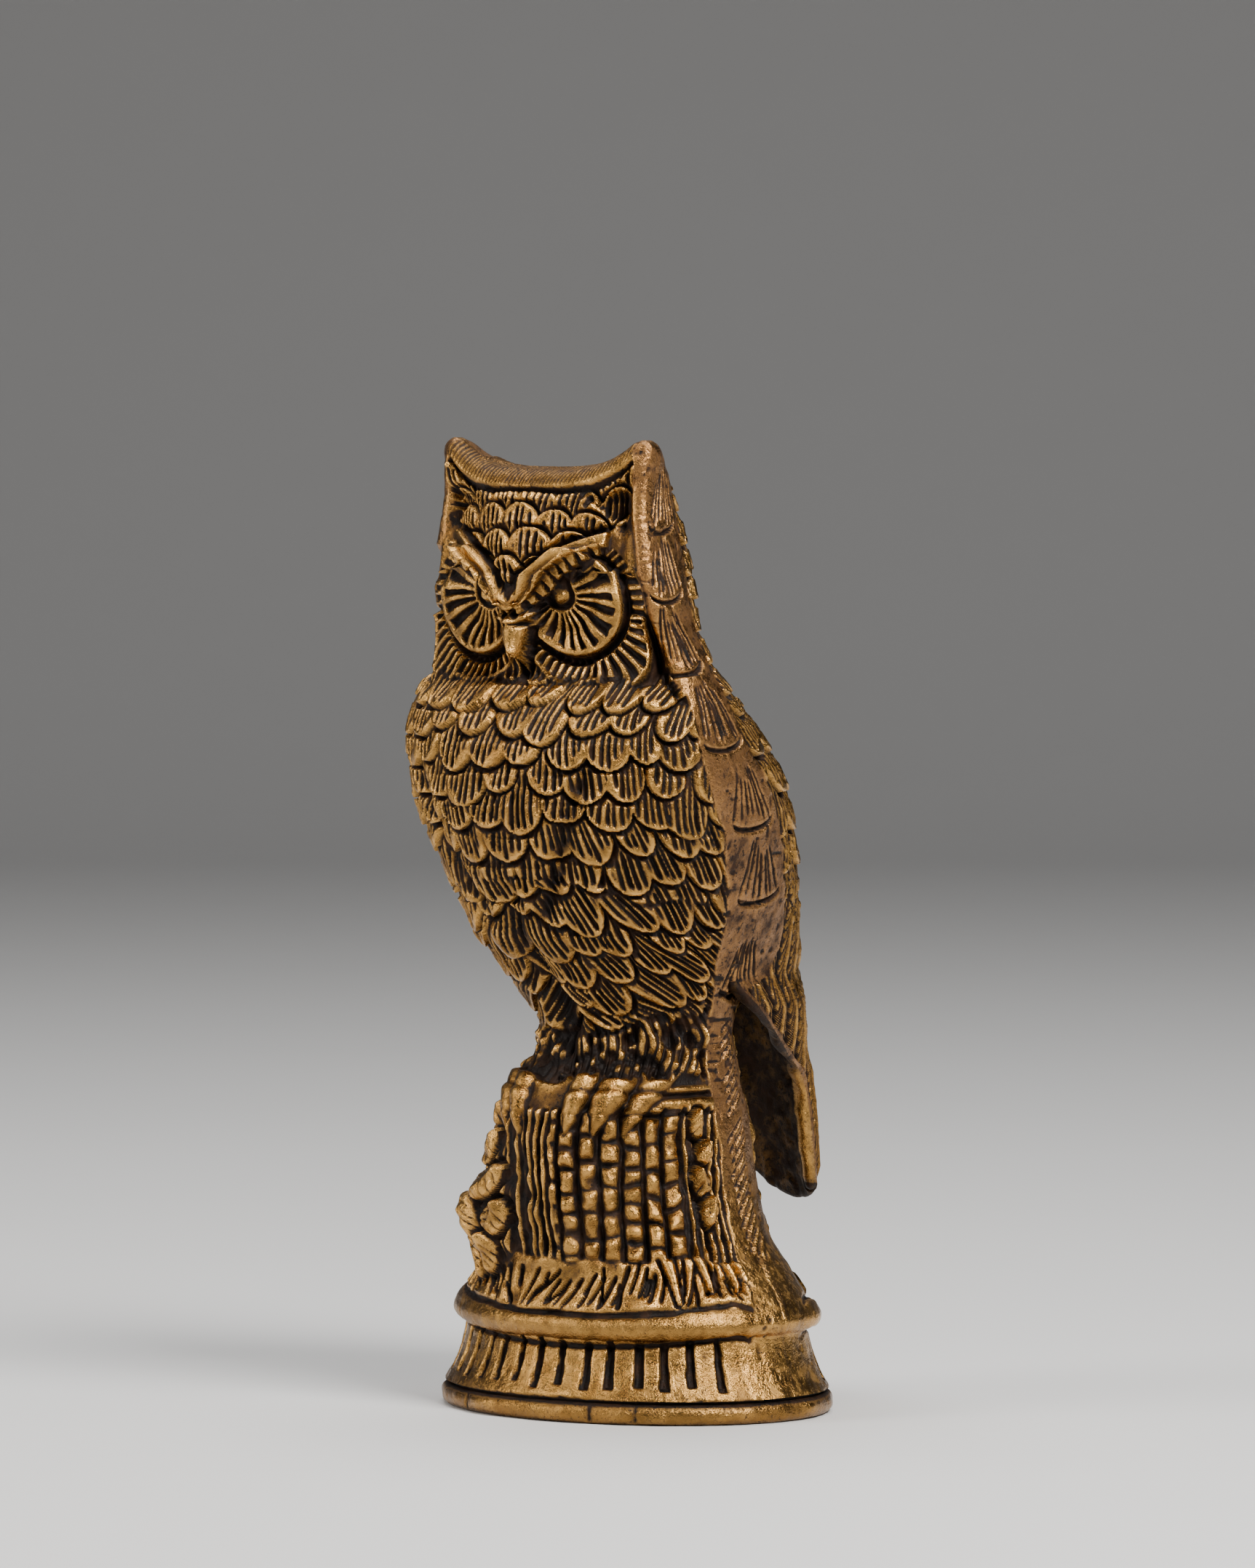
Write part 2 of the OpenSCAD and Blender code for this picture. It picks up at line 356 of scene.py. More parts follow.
def feathers(u, v, width, pitch, length, seed, jitter=0.2, turn=0.15, tilt=upright):
    """Overlapping round-tipped feathers over the plane (u, v), with v upward.

    Each feather is a plate of its own, turned and moved a little by chance, and
    the rows above lie over the rows below. Returns the height and the depth of
    the grooves and of the barbs cut into each feather, both in millimetres.
    """
    found = np.zeros(u.shape, bool)
    to_upper = np.full(u.shape, 3.0)
    to_tip = np.full(u.shape, 0.6)
    lateral = np.zeros(u.shape)
    column_of = np.zeros(u.shape, int)
    row_of = np.zeros(u.shape, int)
    first = np.ceil(-(v + 1.35 * length) / pitch).astype(int)
    for k in range(4):
        row = first + k
        offset = 0.5 * (row % 2)
        best = np.full(u.shape, 9.0)
        best_a = np.zeros(u.shape)
        best_column = np.zeros(u.shape, int)
        for side in (-1, 0, 1):
            column = np.round(u / width - offset).astype(int) + side
            middle_u = (column + offset) * width
            middle_u = middle_u + jitter * width * (chance(column, row, seed) - 0.5)
            middle_v = -row * pitch + jitter * pitch * (chance(column, row, seed + 1) - 0.5)
            size = 1.04 + 0.9 * jitter * (chance(column, row, seed + 2) - 0.5)
            angle = tilt(middle_u, middle_v) + turn * (chance(column, row, seed + 3) - 0.5)
            c, s = np.cos(angle), np.sin(angle)
            a = (u - middle_u) * c + (v - middle_v) * s
            b = -(u - middle_u) * s + (v - middle_v) * c
            reach = np.hypot(2 * a / (width * size), np.minimum(b, 0) / (length * size))
            nearer = reach < best
            best = np.where(nearer, reach, best)
            best_a = np.where(nearer, a, best_a)
            best_column = np.where(nearer, column, best_column)
        distance = (best - 1) * 0.42 * (width / 2 + length)
        use = ~found & (best < 1)
        to_tip = np.where(use, -distance, to_tip)
        lateral = np.where(use, best_a, lateral)
        column_of = np.where(use, best_column, column_of)
        row_of = np.where(use, row, row_of)
        to_upper = np.where(~found & ~use, np.minimum(to_upper, distance), to_upper)
        found |= use
    share = to_upper / (to_upper + to_tip + 1e-6)
    height = 0.1 + 0.7 * share - 0.2 * bump(to_tip, 0.2) - 0.25 * (2 * lateral / width) ** 2
    groove = 1.1 * bump(to_upper, 0.44)
    barb_pitch = 1.08
    place = lateral * (1 + 0.10 * to_tip) / barb_pitch + 0.6 * chance(column_of, row_of, seed + 4)
    index = np.round(place).astype(int)
    off = (place - index + 0.3 * (chance(index, column_of + row_of, seed + 5) - 0.5)) * barb_pitch
    lowest = 0.05 + 0.9 * chance(index, row_of, seed + 6) ** 2
    highest = -0.2 + 0.8 * chance(index, column_of, seed + 9) ** 2
    window = step(lowest, lowest + 0.5, to_tip) * step(highest, highest + 0.7, to_upper)
    window = np.sqrt(window) * (0.55 + 0.45 * chance(index + column_of, row_of, seed + 7))
    barbs = 0.95 * window * bump(off, 0.16 + 0.2 * window)
    return height, np.maximum(groove, barbs)


def spread(mask, value, other):
    """value where mask is 1, other where it is 0."""
    return other + (value - other) * mask


def lay(mask, over, under):
    """The pair (height, cut) of over where mask is 1, of under where it is 0."""
    return spread(mask, over[0], under[0]), spread(mask, over[1], under[1])


# ------------------------------------------------------------------ the owl's face

EYE = (8.3, 107.3)
EYE_R = 7.1
PUPIL = (6.2, 108.1)
BROW_END = 13.8
RUFF_IN = 8.0


def face_form(ax, z):
    """The forehead and the nose stand out more than in the plain sections."""
    forehead = band(110.5, 121, 2.0, z)
    keen = 0.7 - 1.5 * step(0, 9, ax) - 1.3 * step(7.5, 14, ax) + 1.3 * step(15.5, 17.3, ax)
    nose = 2.2 * bump(ax, 3.0) * band(100.5, 109.0, 3.0, z)
    return forehead * keen + nose


def eye_relief(ax, z, p):
    """The feathered disc round an eye, its pupil and the dark ring outside it."""
    r = np.hypot(ax - EYE[0], z - EYE[1])
    rp = np.hypot((ax - PUPIL[0]) * 0.85, (z - PUPIL[1]) * 0.95)
    turn = np.arctan2(z - PUPIL[1], ax - PUPIL[0])
    inside = step(EYE_R + 0.12, EYE_R - 0.12, r)
    dish = 0.85 - 1.5 * step(6.6, 2.2, rp) - 0.5 * step(2.6, 1.6, rp)
    wave = turn + 0.05 * noise(p, 2.0, 81) + 0.05 * np.sin(5 * turn)
    flutes = np.clip(0.32 + 0.72 * np.cos(23 * wave), 0, 1) ** 0.8
    end = EYE_R - 0.75 - 0.35 * np.cos(11.5 * turn) ** 2
    window = step(1.9, 2.8, rp) * step(end + 0.25, end - 0.35, r)
    cut = 0.95 * flutes * window
    pupil = 1.9 * np.sqrt(np.maximum(1 - (rp / 1.15) ** 2, 0))
    cut = np.maximum(cut, bump(rp - 1.55, 0.34))
    ring = 1.25 * bump(r - EYE_R - 0.5, 0.48)
    return inside, dish + pupil, cut, ring, r


def ruff_relief(ax, z, r, p):
    """The ribbed ruff outside the discs, widest at its lower outer corner."""
    turn = np.degrees(np.arctan2(z - EYE[1], ax - EYE[0]))
    reach = 1.9 + 3.9 * step(-14, -50, turn) * step(-74, -56, turn)
    low_tufts = step(-66, -74, turn)
    reach = reach + 0.5 * low_tufts
    plate = band(RUFF_IN + 0.2, RUFF_IN + reach - 0.2, 0.35, r)
    plate = plate * band(-156, -14, 3, turn)
    side = band(-14, 50, 3, turn) * band(RUFF_IN + 0.1, RUFF_IN + 1.5, 0.3, r)
    ribs = np.clip(0.5 + 0.6 * np.cos(np.radians(turn) * 46 + 0.5 * noise(p, 2.5, 82)), 0, 1)
    window = band(RUFF_IN + 0.35, RUFF_IN + reach - 0.75, 0.3, r)
    height = 1.15 * plate * (1 - 0.55 * low_tufts) + 0.5 * side
    cut = 0.8 * ribs * window * plate + 0.6 * ribs * side
    behind = bump(r - RUFF_IN - reach - 0.9, 0.9) * band(-62, -12, 6, turn)
    return plate, height, cut, behind


def brow_relief(ax, z):
    """The frowning brows, a V of thick ridges with a toothed underside."""
    line = 108.4 + 0.98 * ax - 0.0273 * ax**2
    slope = 0.98 - 0.0546 * ax
    d = (z - line) / np.sqrt(1 + slope**2)
    along = ax / BROW_END
    on = band(-0.02, 0.96, 0.06, along)
    crest = 1.3 * band(-1.4, 0.05, 0.5, d) * on
    reach = 2.1 + 1.3 * np.sin(math.pi * np.clip(along, 0, 1))
    under = band(-reach, -1.3, 0.3, d) * band(0.1, 0.92, 0.05, along)
    tooth = (1.25 * ax + 0.4 * d) / 1.75
    gap = 0.26 * np.clip((-d - 1.0) / (reach - 1.3), 0, 1)
    cut = under * step(gap + 0.07, gap - 0.07, np.abs(tooth - np.round(tooth)))
    line_cut = 0.95 * bump(d - 0.95, 0.34) * on
    # A painted shadow below the teeth, laid in as a shallow dark cut.
    below = 0.5 * bump(d + reach + 0.8, 0.6) * band(0.12, 0.85, 0.08, along)
    return crest + 1.1 * under, np.maximum(cut, line_cut), d, below


def beak_relief(x, z):
    """The hooked beak under a cere of two bowed ridges."""
    down = np.clip((104.6 - z) / 6.2, 0, 1)
    side = x - 0.9 * down**2
    half = 2.1 * np.maximum(1 - down**1.15, 0) ** 0.9 * step(105.2, 104.3, z)
    shape = np.maximum(1 - (side / np.maximum(half, 0.05)) ** 2, 0) ** 0.75 * (half > 0.05)
    beak = (1.4 + 0.5 * np.sin(math.pi * np.clip(down * 0.8, 0, 1))) * shape
    bow = 105.5 + 0.05 * x**2
    cere = 1.9 * bump(z - bow, 0.72) * step(3.0, 2.2, np.abs(x))
    upper = 1.2 * bump(z - bow - 1.5, 0.5) * step(2.7, 1.8, np.abs(x))
    outline = bump(np.abs(side) - half - 0.4, 0.45) * band(97.6, 104, 0.5, z)
    return np.maximum(beak, np.maximum(cere, upper)), shape, 1.3 * outline


def face_relief(x, z, p):
    """Height and cut depth of the whole face, before the strip."""
    ax = np.abs(x)
    brow, brow_cut, above_brow, below_brow = brow_relief(ax, z)
    inside, disc, disc_cut, ring, r = eye_relief(ax, z, p)
    plate, ruff, ruff_cut, behind = ruff_relief(ax, z, r, p)
    forehead = step(0.7, 1.2, above_brow)
    warp = 0.35 * noise(p, 4.0, 83)
    arch_h, arch_cut = feathers(x + warp, -(z - 110.9) + warp, 5.4, 3.0, 2.7, 4, 0.2, 0.3)
    height = arch_h * forehead
    cut = arch_cut * forehead
    below = 1 - forehead
    comb = 0.5 + 0.5 * np.cos(x * 2 * math.pi / 1.2 + 2 * noise(p, 3.0, 2))
    rough = 0.6 * comb * band(97.0, 100.5, 0.8, z)
    height = height + below * (spread(inside, disc, -0.3) + (1 - inside) * ruff)
    by_beak = step(3.2, 1.8, ax) * band(98, 105, 1, z)
    around = ring * (1 - by_beak) + (1 - inside) * (ruff_cut + (1 - plate) * rough)
    around = around + 1.9 * behind * (1 - plate)
    cut = cut + below * (inside * disc_cut + around)
    beak, on_beak, outline = beak_relief(x, z)
    shadow = below_brow * (1 - step(0.2, 0.8, disc - 0.85))
    height = np.maximum(height, -0.5) + brow
    on_brow = step(0.5, 1.1, brow)
    cut = cut * (1 - on_brow) + brow_cut + 0.8 * shadow + outline - 0.2 * on_brow
    height = np.maximum(height, beak * 1.1)
    cut = spread(step(0.15, 0.5, on_beak), -0.3, cut)
    return height + face_form(ax, z), cut


def crown_relief(x, z, p):
    """The rounded crown band, the groove under it and the hollow ear fronts."""
    ax = np.abs(x)
    drop = crown_at(x) - z
    lip = 0.6 * np.sqrt(np.clip((2.7 - drop) / 1.6, 0, 1))
    inner = step(16.2, 15.2, ax)
    groove = bump(drop - 2.75, 0.36) * inner
    grain = (x + 0.35 * drop) * 2 * math.pi / 0.6 + 3 * noise(p, 2.5, 3)
    hair = 0.13 * (0.5 + 0.5 * np.cos(grain)) * step(2.3, 1.6, drop)
    depth = 3.4 + 5.2 * step(8.5, 15.5, ax)
    ear = band(9.4, 15.3, 1.1, ax) * band(3.3, depth, 1.0, drop)
    ear = ear + 1.3 * bump(np.hypot(ax - 15.6, (z - 118.6) * 0.8), 1.3)
    return lip, groove + hair, ear, drop


def crowned(relief, x, z, p):
    """A relief under the crown band, and the ear's hollow and the depth below the crown."""
    lip, groove, ear, drop = crown_relief(x, z, p)
    height, cut = lay(step(3.2, 2.5, drop), (lip, 0), relief)
    return height, cut + groove, ear, drop


# ------------------------------------------------------- relief of the front half


# The smooth strip along the seam: height, and the distances of its front and rear edge
# from the seam.
STRIP_EDGES = (
    (0, -7.0, 8.0), (11, -7.0, 8.0), (14, -4.6, 14.0), (18, -4.2, 13.0), (24, -2.6, 9.5),
    (34, -2.2, 5.8), (46, -3.6, 4.6), (54, -2.9, 4.2), (61, -3.2, 9.5), (67, -2.8, 9.4),
    (77, -3.7, 8.0), (82, -5.0, 7.0), (88, -4.3, 4.6), (94, -3.3, 3.6), (100, -2.9, 4.0),
    (106, -3.0, 5.0), (115, -2.6, 6.2), (129, -2.4, 6.2),
)
# The feathers engraved on the strip: height of the arc that ends each, middle, half width.
STRIP_FEATHERS = (
    (55.6, 1.4, 3.6), (68.0, 3.4, 4.7), (78.0, 2.2, 4.5), (88.7, 0.2, 4.2), (98.8, -1.0, 3.7),
    (108.0, 1.0, 3.3), (117.0, 2.3, 3.1),
)


def strip_bounds(z, side_x):
    """Front and rear edges of the smooth strip, as distances from the seam."""
    heights, front, rear = np.transpose(STRIP_EDGES)
    far_face = (side_x < 0) * band(99.5, 113, 1.5, z)
    return np.interp(z, heights, front) + 2.2 * far_face, np.interp(z, heights, rear)


def strip_wander(p):
    """How far the strip's edges wander."""
    return 0.35 * noise(p, 2.6, 1)


def strip_relief(w, z, p):
    """Height and cut of the smooth strip, w from the middle of the seam rearward."""
    owl = step(50, 53, z)
    cut = np.zeros_like(w)
    for n, (arc_z, middle_w, half) in enumerate(STRIP_FEATHERS):
        off = w - middle_w - 0.5 * (chance(n, 1, 5) - 0.5)
        across = off / half
        line = arc_z - 1.5 * np.sqrt(np.maximum(1 - across**2, 0)) + 0.9 + 0.12 * off
        inside = step(1.02, 0.9, np.abs(across))
        cut = np.maximum(cut, 0.7 * inside * bump(z - line, 0.27))
        rise = z - arc_z
        for k in range(7):
            share = (k - 3) / 3.4 + 0.14 * (chance(k, n, 5) - 0.5)
            centre = share * half * (1.05 - 0.085 * rise) + 0.1 * rise * chance(n, 2, 6)
            top = 6.6 + 2.4 * chance(k, n, 6)
            low = 0.9 + 1.3 * chance(k, n, 7)
            window = band(low, top - 1.5, 1.2, rise) * (0.6 + 0.4 * chance(k, n, 8))
            cut = np.maximum(cut, 0.45 * window * bump(off - centre, 0.18 + 0.06 * window))
    cut = cut * owl
    slant = z - 0.9 * w
    stroke = np.round(slant / 1.6)
    middle_w = 0.7 + (chance(stroke, 3, 15) - 0.5)
    hatch = band(21, 51, 1, z) * band(middle_w - 1.3, middle_w + 1.3, 0.6, w)
    kept = step(0.1, 0.3, chance(stroke, 4, 15))
    cut = cut + 0.6 * hatch * kept * bump(slant - 1.6 * stroke, 0.2)
    marks = band(44, 56, 3, z) + 0.7 * band(98, 118, 3, z) * band(-3.6, 0.4, 0.6, w)
    fine = noise(p * np.array([0.3, 0.3, 1.5]), 0.62, 6)
    cut = cut + 0.16 * marks * step(0.28, 0.6, fine)
    pits = 0.16 * step(0.5, 0.9, noise(p, 1.1, 66))
    return 0.3 + 0.1 * noise(p, 4.0, 7), cut + pits


def thigh_tilt(u, v):
    """Thigh feathers lean away from the middle, the lowest the most."""
    return np.sign(u) * np.interp(v, [44, 58, 68, 76], [0.75, 0.55, 0.3, 0.0])


def body_relief(u, z, p, seed):
    """Breast feathers in even rows, then wilder ones that lean over the thighs."""
    warp_u, warp_z = 0.5 * noise(p, 7.0, seed), 0.6 * noise(p, 6.0, seed + 1)
    breast = feathers(u + warp_u, z + warp_z, 5.9, 4.05, 3.1, 3, 0.34, 0.35)
    thigh = feathers(u + warp_u, z + warp_z, 5.7, 3.8, 3.4, 13, 0.5, 0.8, thigh_tilt)
    low = step(72.5, 71.5, z + 0.16 * np.abs(u) + 1.2 * noise(p, 3.5, 52))
    return spread(low, thigh[0], breast[0]), spread(low, thigh[1], breast[1])


def capsule(x, z, start, end, radius):
    """Height of a rounded bar lying in the plane (x, z) from start to end."""
    start, end = np.array(start), np.array(end)
    along = end - start
    t = ((x - start[0]) * along[0] + (z - start[1]) * along[1]) / (along @ along)
    t = np.clip(t, 0, 1)
    d = np.hypot(x - start[0] - t * along[0], z - start[1] - t * along[1])
    r = radius[0] + (radius[1] - radius[0]) * t
    return np.sqrt(np.maximum(r * r - d * d, 0))


TOES = ((4.7, 1.1), (8.0, 1.2), (10.9, 0.8))


def feet_relief(x, z):
    """Knuckled toes that grip the edge of the stump, with tapering claws."""
    ax = np.abs(x)
    height = np.zeros_like(x)
    for place, size in TOES:
        upper = capsule(ax, z, (place + 0.6, 45.6), (place + 0.2, 43.6), (1.3 * size, 1.5 * size))
        lower = capsule(ax, z, (place, 42.0), (place - 0.2, 40.7), (1.5 * size, 1.2 * size))
        claw = capsule(ax, z, (place - 0.2, 39.6), (place - 0.7, 37.4), (0.9 * size, 0.3))
        toe = np.maximum(np.maximum(1.15 * upper, 1.3 * lower), 1.5 * claw)
        height = np.maximum(height, toe)
    return height


def bark_relief(u, z, p):
    """Blocks of bark: deep upright grooves crossed by short level cuts."""
    wander = u + 0.4 * noise(p, 5.0, 20) + 0.12 * noise(p, 1.7, 24)
    pitch = 2.9
    column = np.floor(wander / pitch)
    edge = np.abs(wander / pitch - np.round(wander / pitch)) * pitch
    wide = 0.26 + 0.26 * chance(np.round(wander / pitch), 9, 9)
    grooves = bump(edge, wide)
    rise = z + 2.3 * chance(column, 3, 8) + 0.5 * noise(p, 2.4, 21)
    tall = 2.3 + 1.3 * chance(column, 5, 9)
    level = np.abs(rise / tall - np.round(rise / tall)) * tall
    blocks = band(2.5, 19.5, 1.0, u)
    deep = 0.35 + 0.65 * chance(column, np.round(rise / tall), 10)
    across = 0.55 + 0.45 * np.clip(1.2 - edge / 1.2, 0, 1)
    cuts = 0.75 * deep * bump(level, 0.34 * across) * blocks
    bundle = 0.7 * (0.5 + 0.5 * np.cos(wander * 2 * math.pi / 1.3 + 1.5 * noise(p, 4.0, 26)))
    bundle = bundle * (1 - blocks)
    worn = 0.75 + 0.45 * noise(p, 3.2, 23)
    pillow = np.sqrt(np.clip(edge / 1.2, 0, 1)) * (1 - deep * (1 - np.clip(level / 0.9, 0, 1)))
    pillow = spread(blocks, 0.9 * pillow, 0.35)
    pillow = pillow + 0.45 * noise(p, 2.2, 22) + 0.3 * noise(p, 1.1, 25)
    return 0.1 + pillow, worn * np.maximum(grooves, cuts) + bundle


# Ivy leaves on the stump: arc length from the middle, height, size, lean.
LEAVES = (
    (-16.4, 33.6, 3.3, 24), (-12.0, 34.8, 3.0, -25), (-15.4, 28.6, 3.6, 58), (-10.0, 30.4, 3.3, -46),
    (-13.2, 25.0, 3.6, 12), (-8.6, 25.8, 2.9, -24), (-10.8, 20.8, 3.0, -15), (-17.6, 24.0, 3.1, 35),
    (-14.8, 19.6, 2.8, 25), (-11.4, 39.4, 2.5, -20), (-15.0, 38.0, 2.6, 25),
    (22.9, 38.4, 2.2, 18), (23.8, 34.6, 2.0, -16), (23.2, 30.8, 2.4, 22), (23.9, 27.0, 2.1, -10),
)
# Long blades at the foot of the stump: arc length and height of both ends.
BLADES = (
    (19.0, 25.5, 23.6, 17.4), (21.6, 26.2, 27.4, 17.6), (23.4, 24.6, 29.6, 17.8),
    (16.4, 22.6, 19.6, 15.8), (25.4, 24.8, 28.2, 20.6),
)
# Middle of the swelling under the leaves: arc length and height.
BOSS = (-13.4, 26.4)


def leaf_relief(u, z):
    """Pointed ivy leaves, each with a cut midrib."""
    height = np.zeros_like(u)
    cut = np.zeros_like(u)
    for place, up, size, lean in LEAVES:
        c, s = math.cos(math.radians(lean)), math.sin(math.radians(lean))
        a = (u - place) * c + (z - up) * s
        b = -(u - place) * s + (z - up) * c
        half = 0.62 * size * np.sqrt(np.maximum(1 - (b / size) ** 2, 0)) + 0.01
        body = np.maximum(1 - np.abs(a) / half, 0) * (np.abs(b) < size)
        height = np.maximum(height, 1.9 * body**0.5 * (0.7 + 0.3 * b / size))
        rim = np.abs(np.hypot(a / (0.62 * size), b / size) - 1.05)
        cut = np.maximum(cut * (body < 0.1), 0.95 * bump(rim, 0.16))
        barb = (b + 0.8 * np.abs(a)) / 1.3
        veins = bump((barb - np.round(barb)) * 1.3, 0.16) * (np.abs(a) > 0.25)
        cut = np.maximum(cut, 0.45 * (body > 0) * veins)
    return height, cut


def boss_relief(u, z):
    """The swelling of the stump that carries the cluster of leaves."""
    return 4.3 * bump(np.hypot(u - BOSS[0], (z - BOSS[1]) / 1.5), 4.9)


def sag_at(u):
    """The mouldings of the hand-finished plinth sag a little in front."""
    return 0.0021 * np.clip(u - 4, -34, 28) ** 2 - 0.35


def grass_relief(u, z, p, reach):
    """Blades of grass that fan out over the mound."""
    rise = z - 14.4 - sag_at(u)
    swell = 0.45 * noise(p * [1, 1, 0.7], 2.0, 32)
    height, cut = 0.5 + swell, 0 * u
    for layer, (pitch, tilt) in enumerate(((1.7, 0.0), (2.9, 0.5))):
        lean = 0.55 * np.sin(u / reach * 4.2 + 0.9) + tilt * np.sin(0.35 * u + layer)
        phase = (u - lean * rise) / pitch
        cell = np.round(phase)
        tilted = phase - cell - 0.12 * (chance(cell, 6 + layer, 10) - 0.5) * (rise - 3)
        low = 2.6 * chance(cell, 2 + layer, 10)
        tall = low + 2.4 + 3.2 * chance(cell, 1 + layer, 10)
        half = (0.2 + 0.16 * chance(cell, 3 + layer, 10)) / pitch
        blade = bump(tilted, half) * band(low + 0.9, tall - 0.6, 1.0, rise)
        cut = np.maximum(cut, 1.25 * blade)
    for start_u, start_z, end_u, end_z in BLADES:
        long = capsule(u, z, (start_u, start_z), (end_u, end_z), (0.95, 0.3))
        beside = capsule(u, z, (start_u, start_z), (end_u, end_z), (1.5, 0.8))
        height = np.maximum(height, 1.7 * long)
        cut = cut * (long < 0.1) + 0.7 * (beside > 0.3) * (long < 0.1)
    return height, cut


# The flutes go by the share of each section's length, as if all were this long, so that
# they stand upright on the flare.
PLINTH_ARC = 76.0


def plinth_relief(u, w, z, p):
    """The flutes of the skirt and the dark grooves of the mouldings."""
    away = step(8.5, 9.3, np.abs(w))
    pitch = 3.9
    cell = np.round(u / pitch)
    place = cell * pitch + 0.7 * (chance(cell, 4, 12) - 0.5)
    lean = 0.06 * (chance(cell, 5, 12) - 0.4) * (z - 8)
    half = 0.36 + 0.22 * chance(cell, 6, 12) + 0.03 * (10.4 - z)
    low = 4.5 + 0.9 * chance(cell, 7, 12)
    high = 9.9 + 0.8 * chance(cell, 8, 12)
    flute = step(half + 0.22, half - 0.22, np.abs(u - place - lean + 0.14 * noise(p, 1.3, 40)))
    flute = flute * band(low, high, 0.55, z) * away
    round_it = step(3.0, 8.0, np.abs(w))
    sag = sag_at(u) * round_it
    top = 0.85 * bump(z - 14.35 - sag - 0.15 * noise(p, 3.0, 41), 0.34) * step(4.0, 7.0, np.abs(w))
    bead = 0.6 * np.sqrt(np.maximum(1 - ((z - 12.4 - sag) / 2.1) ** 2, 0)) * round_it
    wander = 2.95 + 0.3 * noise(p, 4.0, 42) + 0.16 * noise(p, 1.2, 43)
    broken = step(-0.45, 0.1, noise(p, 7.0, 44))
    joint = 0.6 * bump(z - wander, 0.26) * step(5.0, 8.0, np.abs(w)) * broken
    under = 0.45 * bump(z - 10.2 - sag, 0.35) * round_it
    return bead, flute + top + joint + under


def underparts_relief(u, x, z, p):
    """Height and cut of the breast, the thighs and the faceted legs."""
    height, cut = body_relief(u, z, p, 50)
    crease_x = np.interp(z, [66, 72, 82, 88], [5.0, 8.5, 13.0, 15.0])
    crease = 1.3 * bump(np.abs(x) - crease_x, 1.6) * band(67, 83, 4, z)
    between = 1.5 * bump(u, 2.2) * band(44, 66, 6, z)
    legs = step(51.5, 49.5, z + 1.5 * noise(p, 4.0, 14) - 0.12 * np.abs(u))
    facets = 0.3 + 1.3 * noise(p * [1, 1, 0.7], 2.4, 15) + 0.5 * noise(p, 0.9, 16)
    strokes = 0.5 + 0.5 * np.cos((u + 0.25 * np.sign(u) * z) * 2 * math.pi / 1.3)
    hollows = step(0.35, -0.2, facets)
    leg = np.maximum(facets, -0.5), 0.15 + 0.5 * strokes**3 + 0.5 * hollows
    height, cut = lay(legs, leg, (height, cut))
    return height - crease - between, cut + 0.6 * bump(u, 2.0) * band(42, 54, 2, z)


def stump_front_relief(u, x, z, p, reach):
    """Height and cut of the bark, its top ledge, the ivy, the feet and the grass."""
    bark_h, bark_cut = bark_relief(u, z, p)
    leaf_h, leaf_cut = leaf_relief(u, z)
    feet = feet_relief(x, z)
    bark_on = band(21.5, 40.2, 0.8, z + 0.5 * noise(p, 4.0, 10))
    beside_foot = step(10.8, 11.8, u)
    ledge = (0.9 * bump(z - 41.2, 0.8) + 0.5 * bump(z - 43.1, 0.4)) * beside_foot
    ledge_cut = 0.7 * (bump(z - 42.3, 0.26) + bump(z - 39.9, 0.26)) * beside_foot
    leafy = step(0.05, 0.3, leaf_h)
    height = spread(bark_on, bark_h, 0.2 * noise(p, 2.0, 12)) + ledge
    height = height + leaf_h + boss_relief(u, z)
    cut = spread(leafy, 0, bark_cut * bark_on + ledge_cut) + leaf_cut
    on_foot = step(0.05, 0.4, feet)
    height = np.maximum(height, 0) * (1 - on_foot) + feet
    cut = spread(on_foot, 0, cut)
    grass = step(21.6, 20.4, z + 0.7 * noise(p, 3.0, 13)) * (1 - leafy)
    return lay(grass, grass_relief(u, z, p, reach), (height, cut))


def front_relief(p, arc, length):
    """Height, cut depth and strip mask over the whole front casting."""
    x, z = p[..., 0], p[..., 2]
    u = length / 2 - arc
    w = -np.minimum(arc, length - arc)
    strip_front, _ = strip_bounds(z, x)
    on_strip = step(strip_front - 0.25, strip_front + 0.25, w + strip_wander(p))

    face_h, face_cut, ear, drop = crowned(face_relief(x, z, p), x, z, p)
    face = step(96.0, 98.5, z)
    relief = lay(face, (face_h - 0.9 * ear, face_cut), underparts_relief(u, x, z, p))
    owl = step(44.2, 45.4, z + 0.8 * noise(p, 3.0, 9))
    relief = lay(owl, relief, stump_front_relief(u, x, z, p, length / 2))
    base = step(14.4, 13.9, z - sag_at(u))
    relief = lay(base, (0, 0), relief)

    strip_h, strip_cut = strip_relief(w - SEAM_HALF, z, p)
    height, cut = lay(on_strip, (strip_h * step(14, 20, z), strip_cut), relief)
    bead, plinth_cut = plinth_relief(u / length * PLINTH_ARC, w, z, p)
    valley = 1.6 * bump(w - strip_front + 0.9, 0.8) * band(96, 104, 2.5, z)
    rounded = (1 - np.clip((w - strip_front) / 2.2, 0, 1)) ** 2 * on_strip * step(95, 99, z)
    rounded = rounded * step(2.5, 6.0, drop)
    return height + bead - valley - 0.9 * rounded, cut + plinth_cut, on_strip


# -------------------------------------------------------------- making the meshes


# Reach of the blurs that find edges and broad swells, in cells of about 0.25 mm.
EDGE_REACH = 2
SWELL_REACH = 8


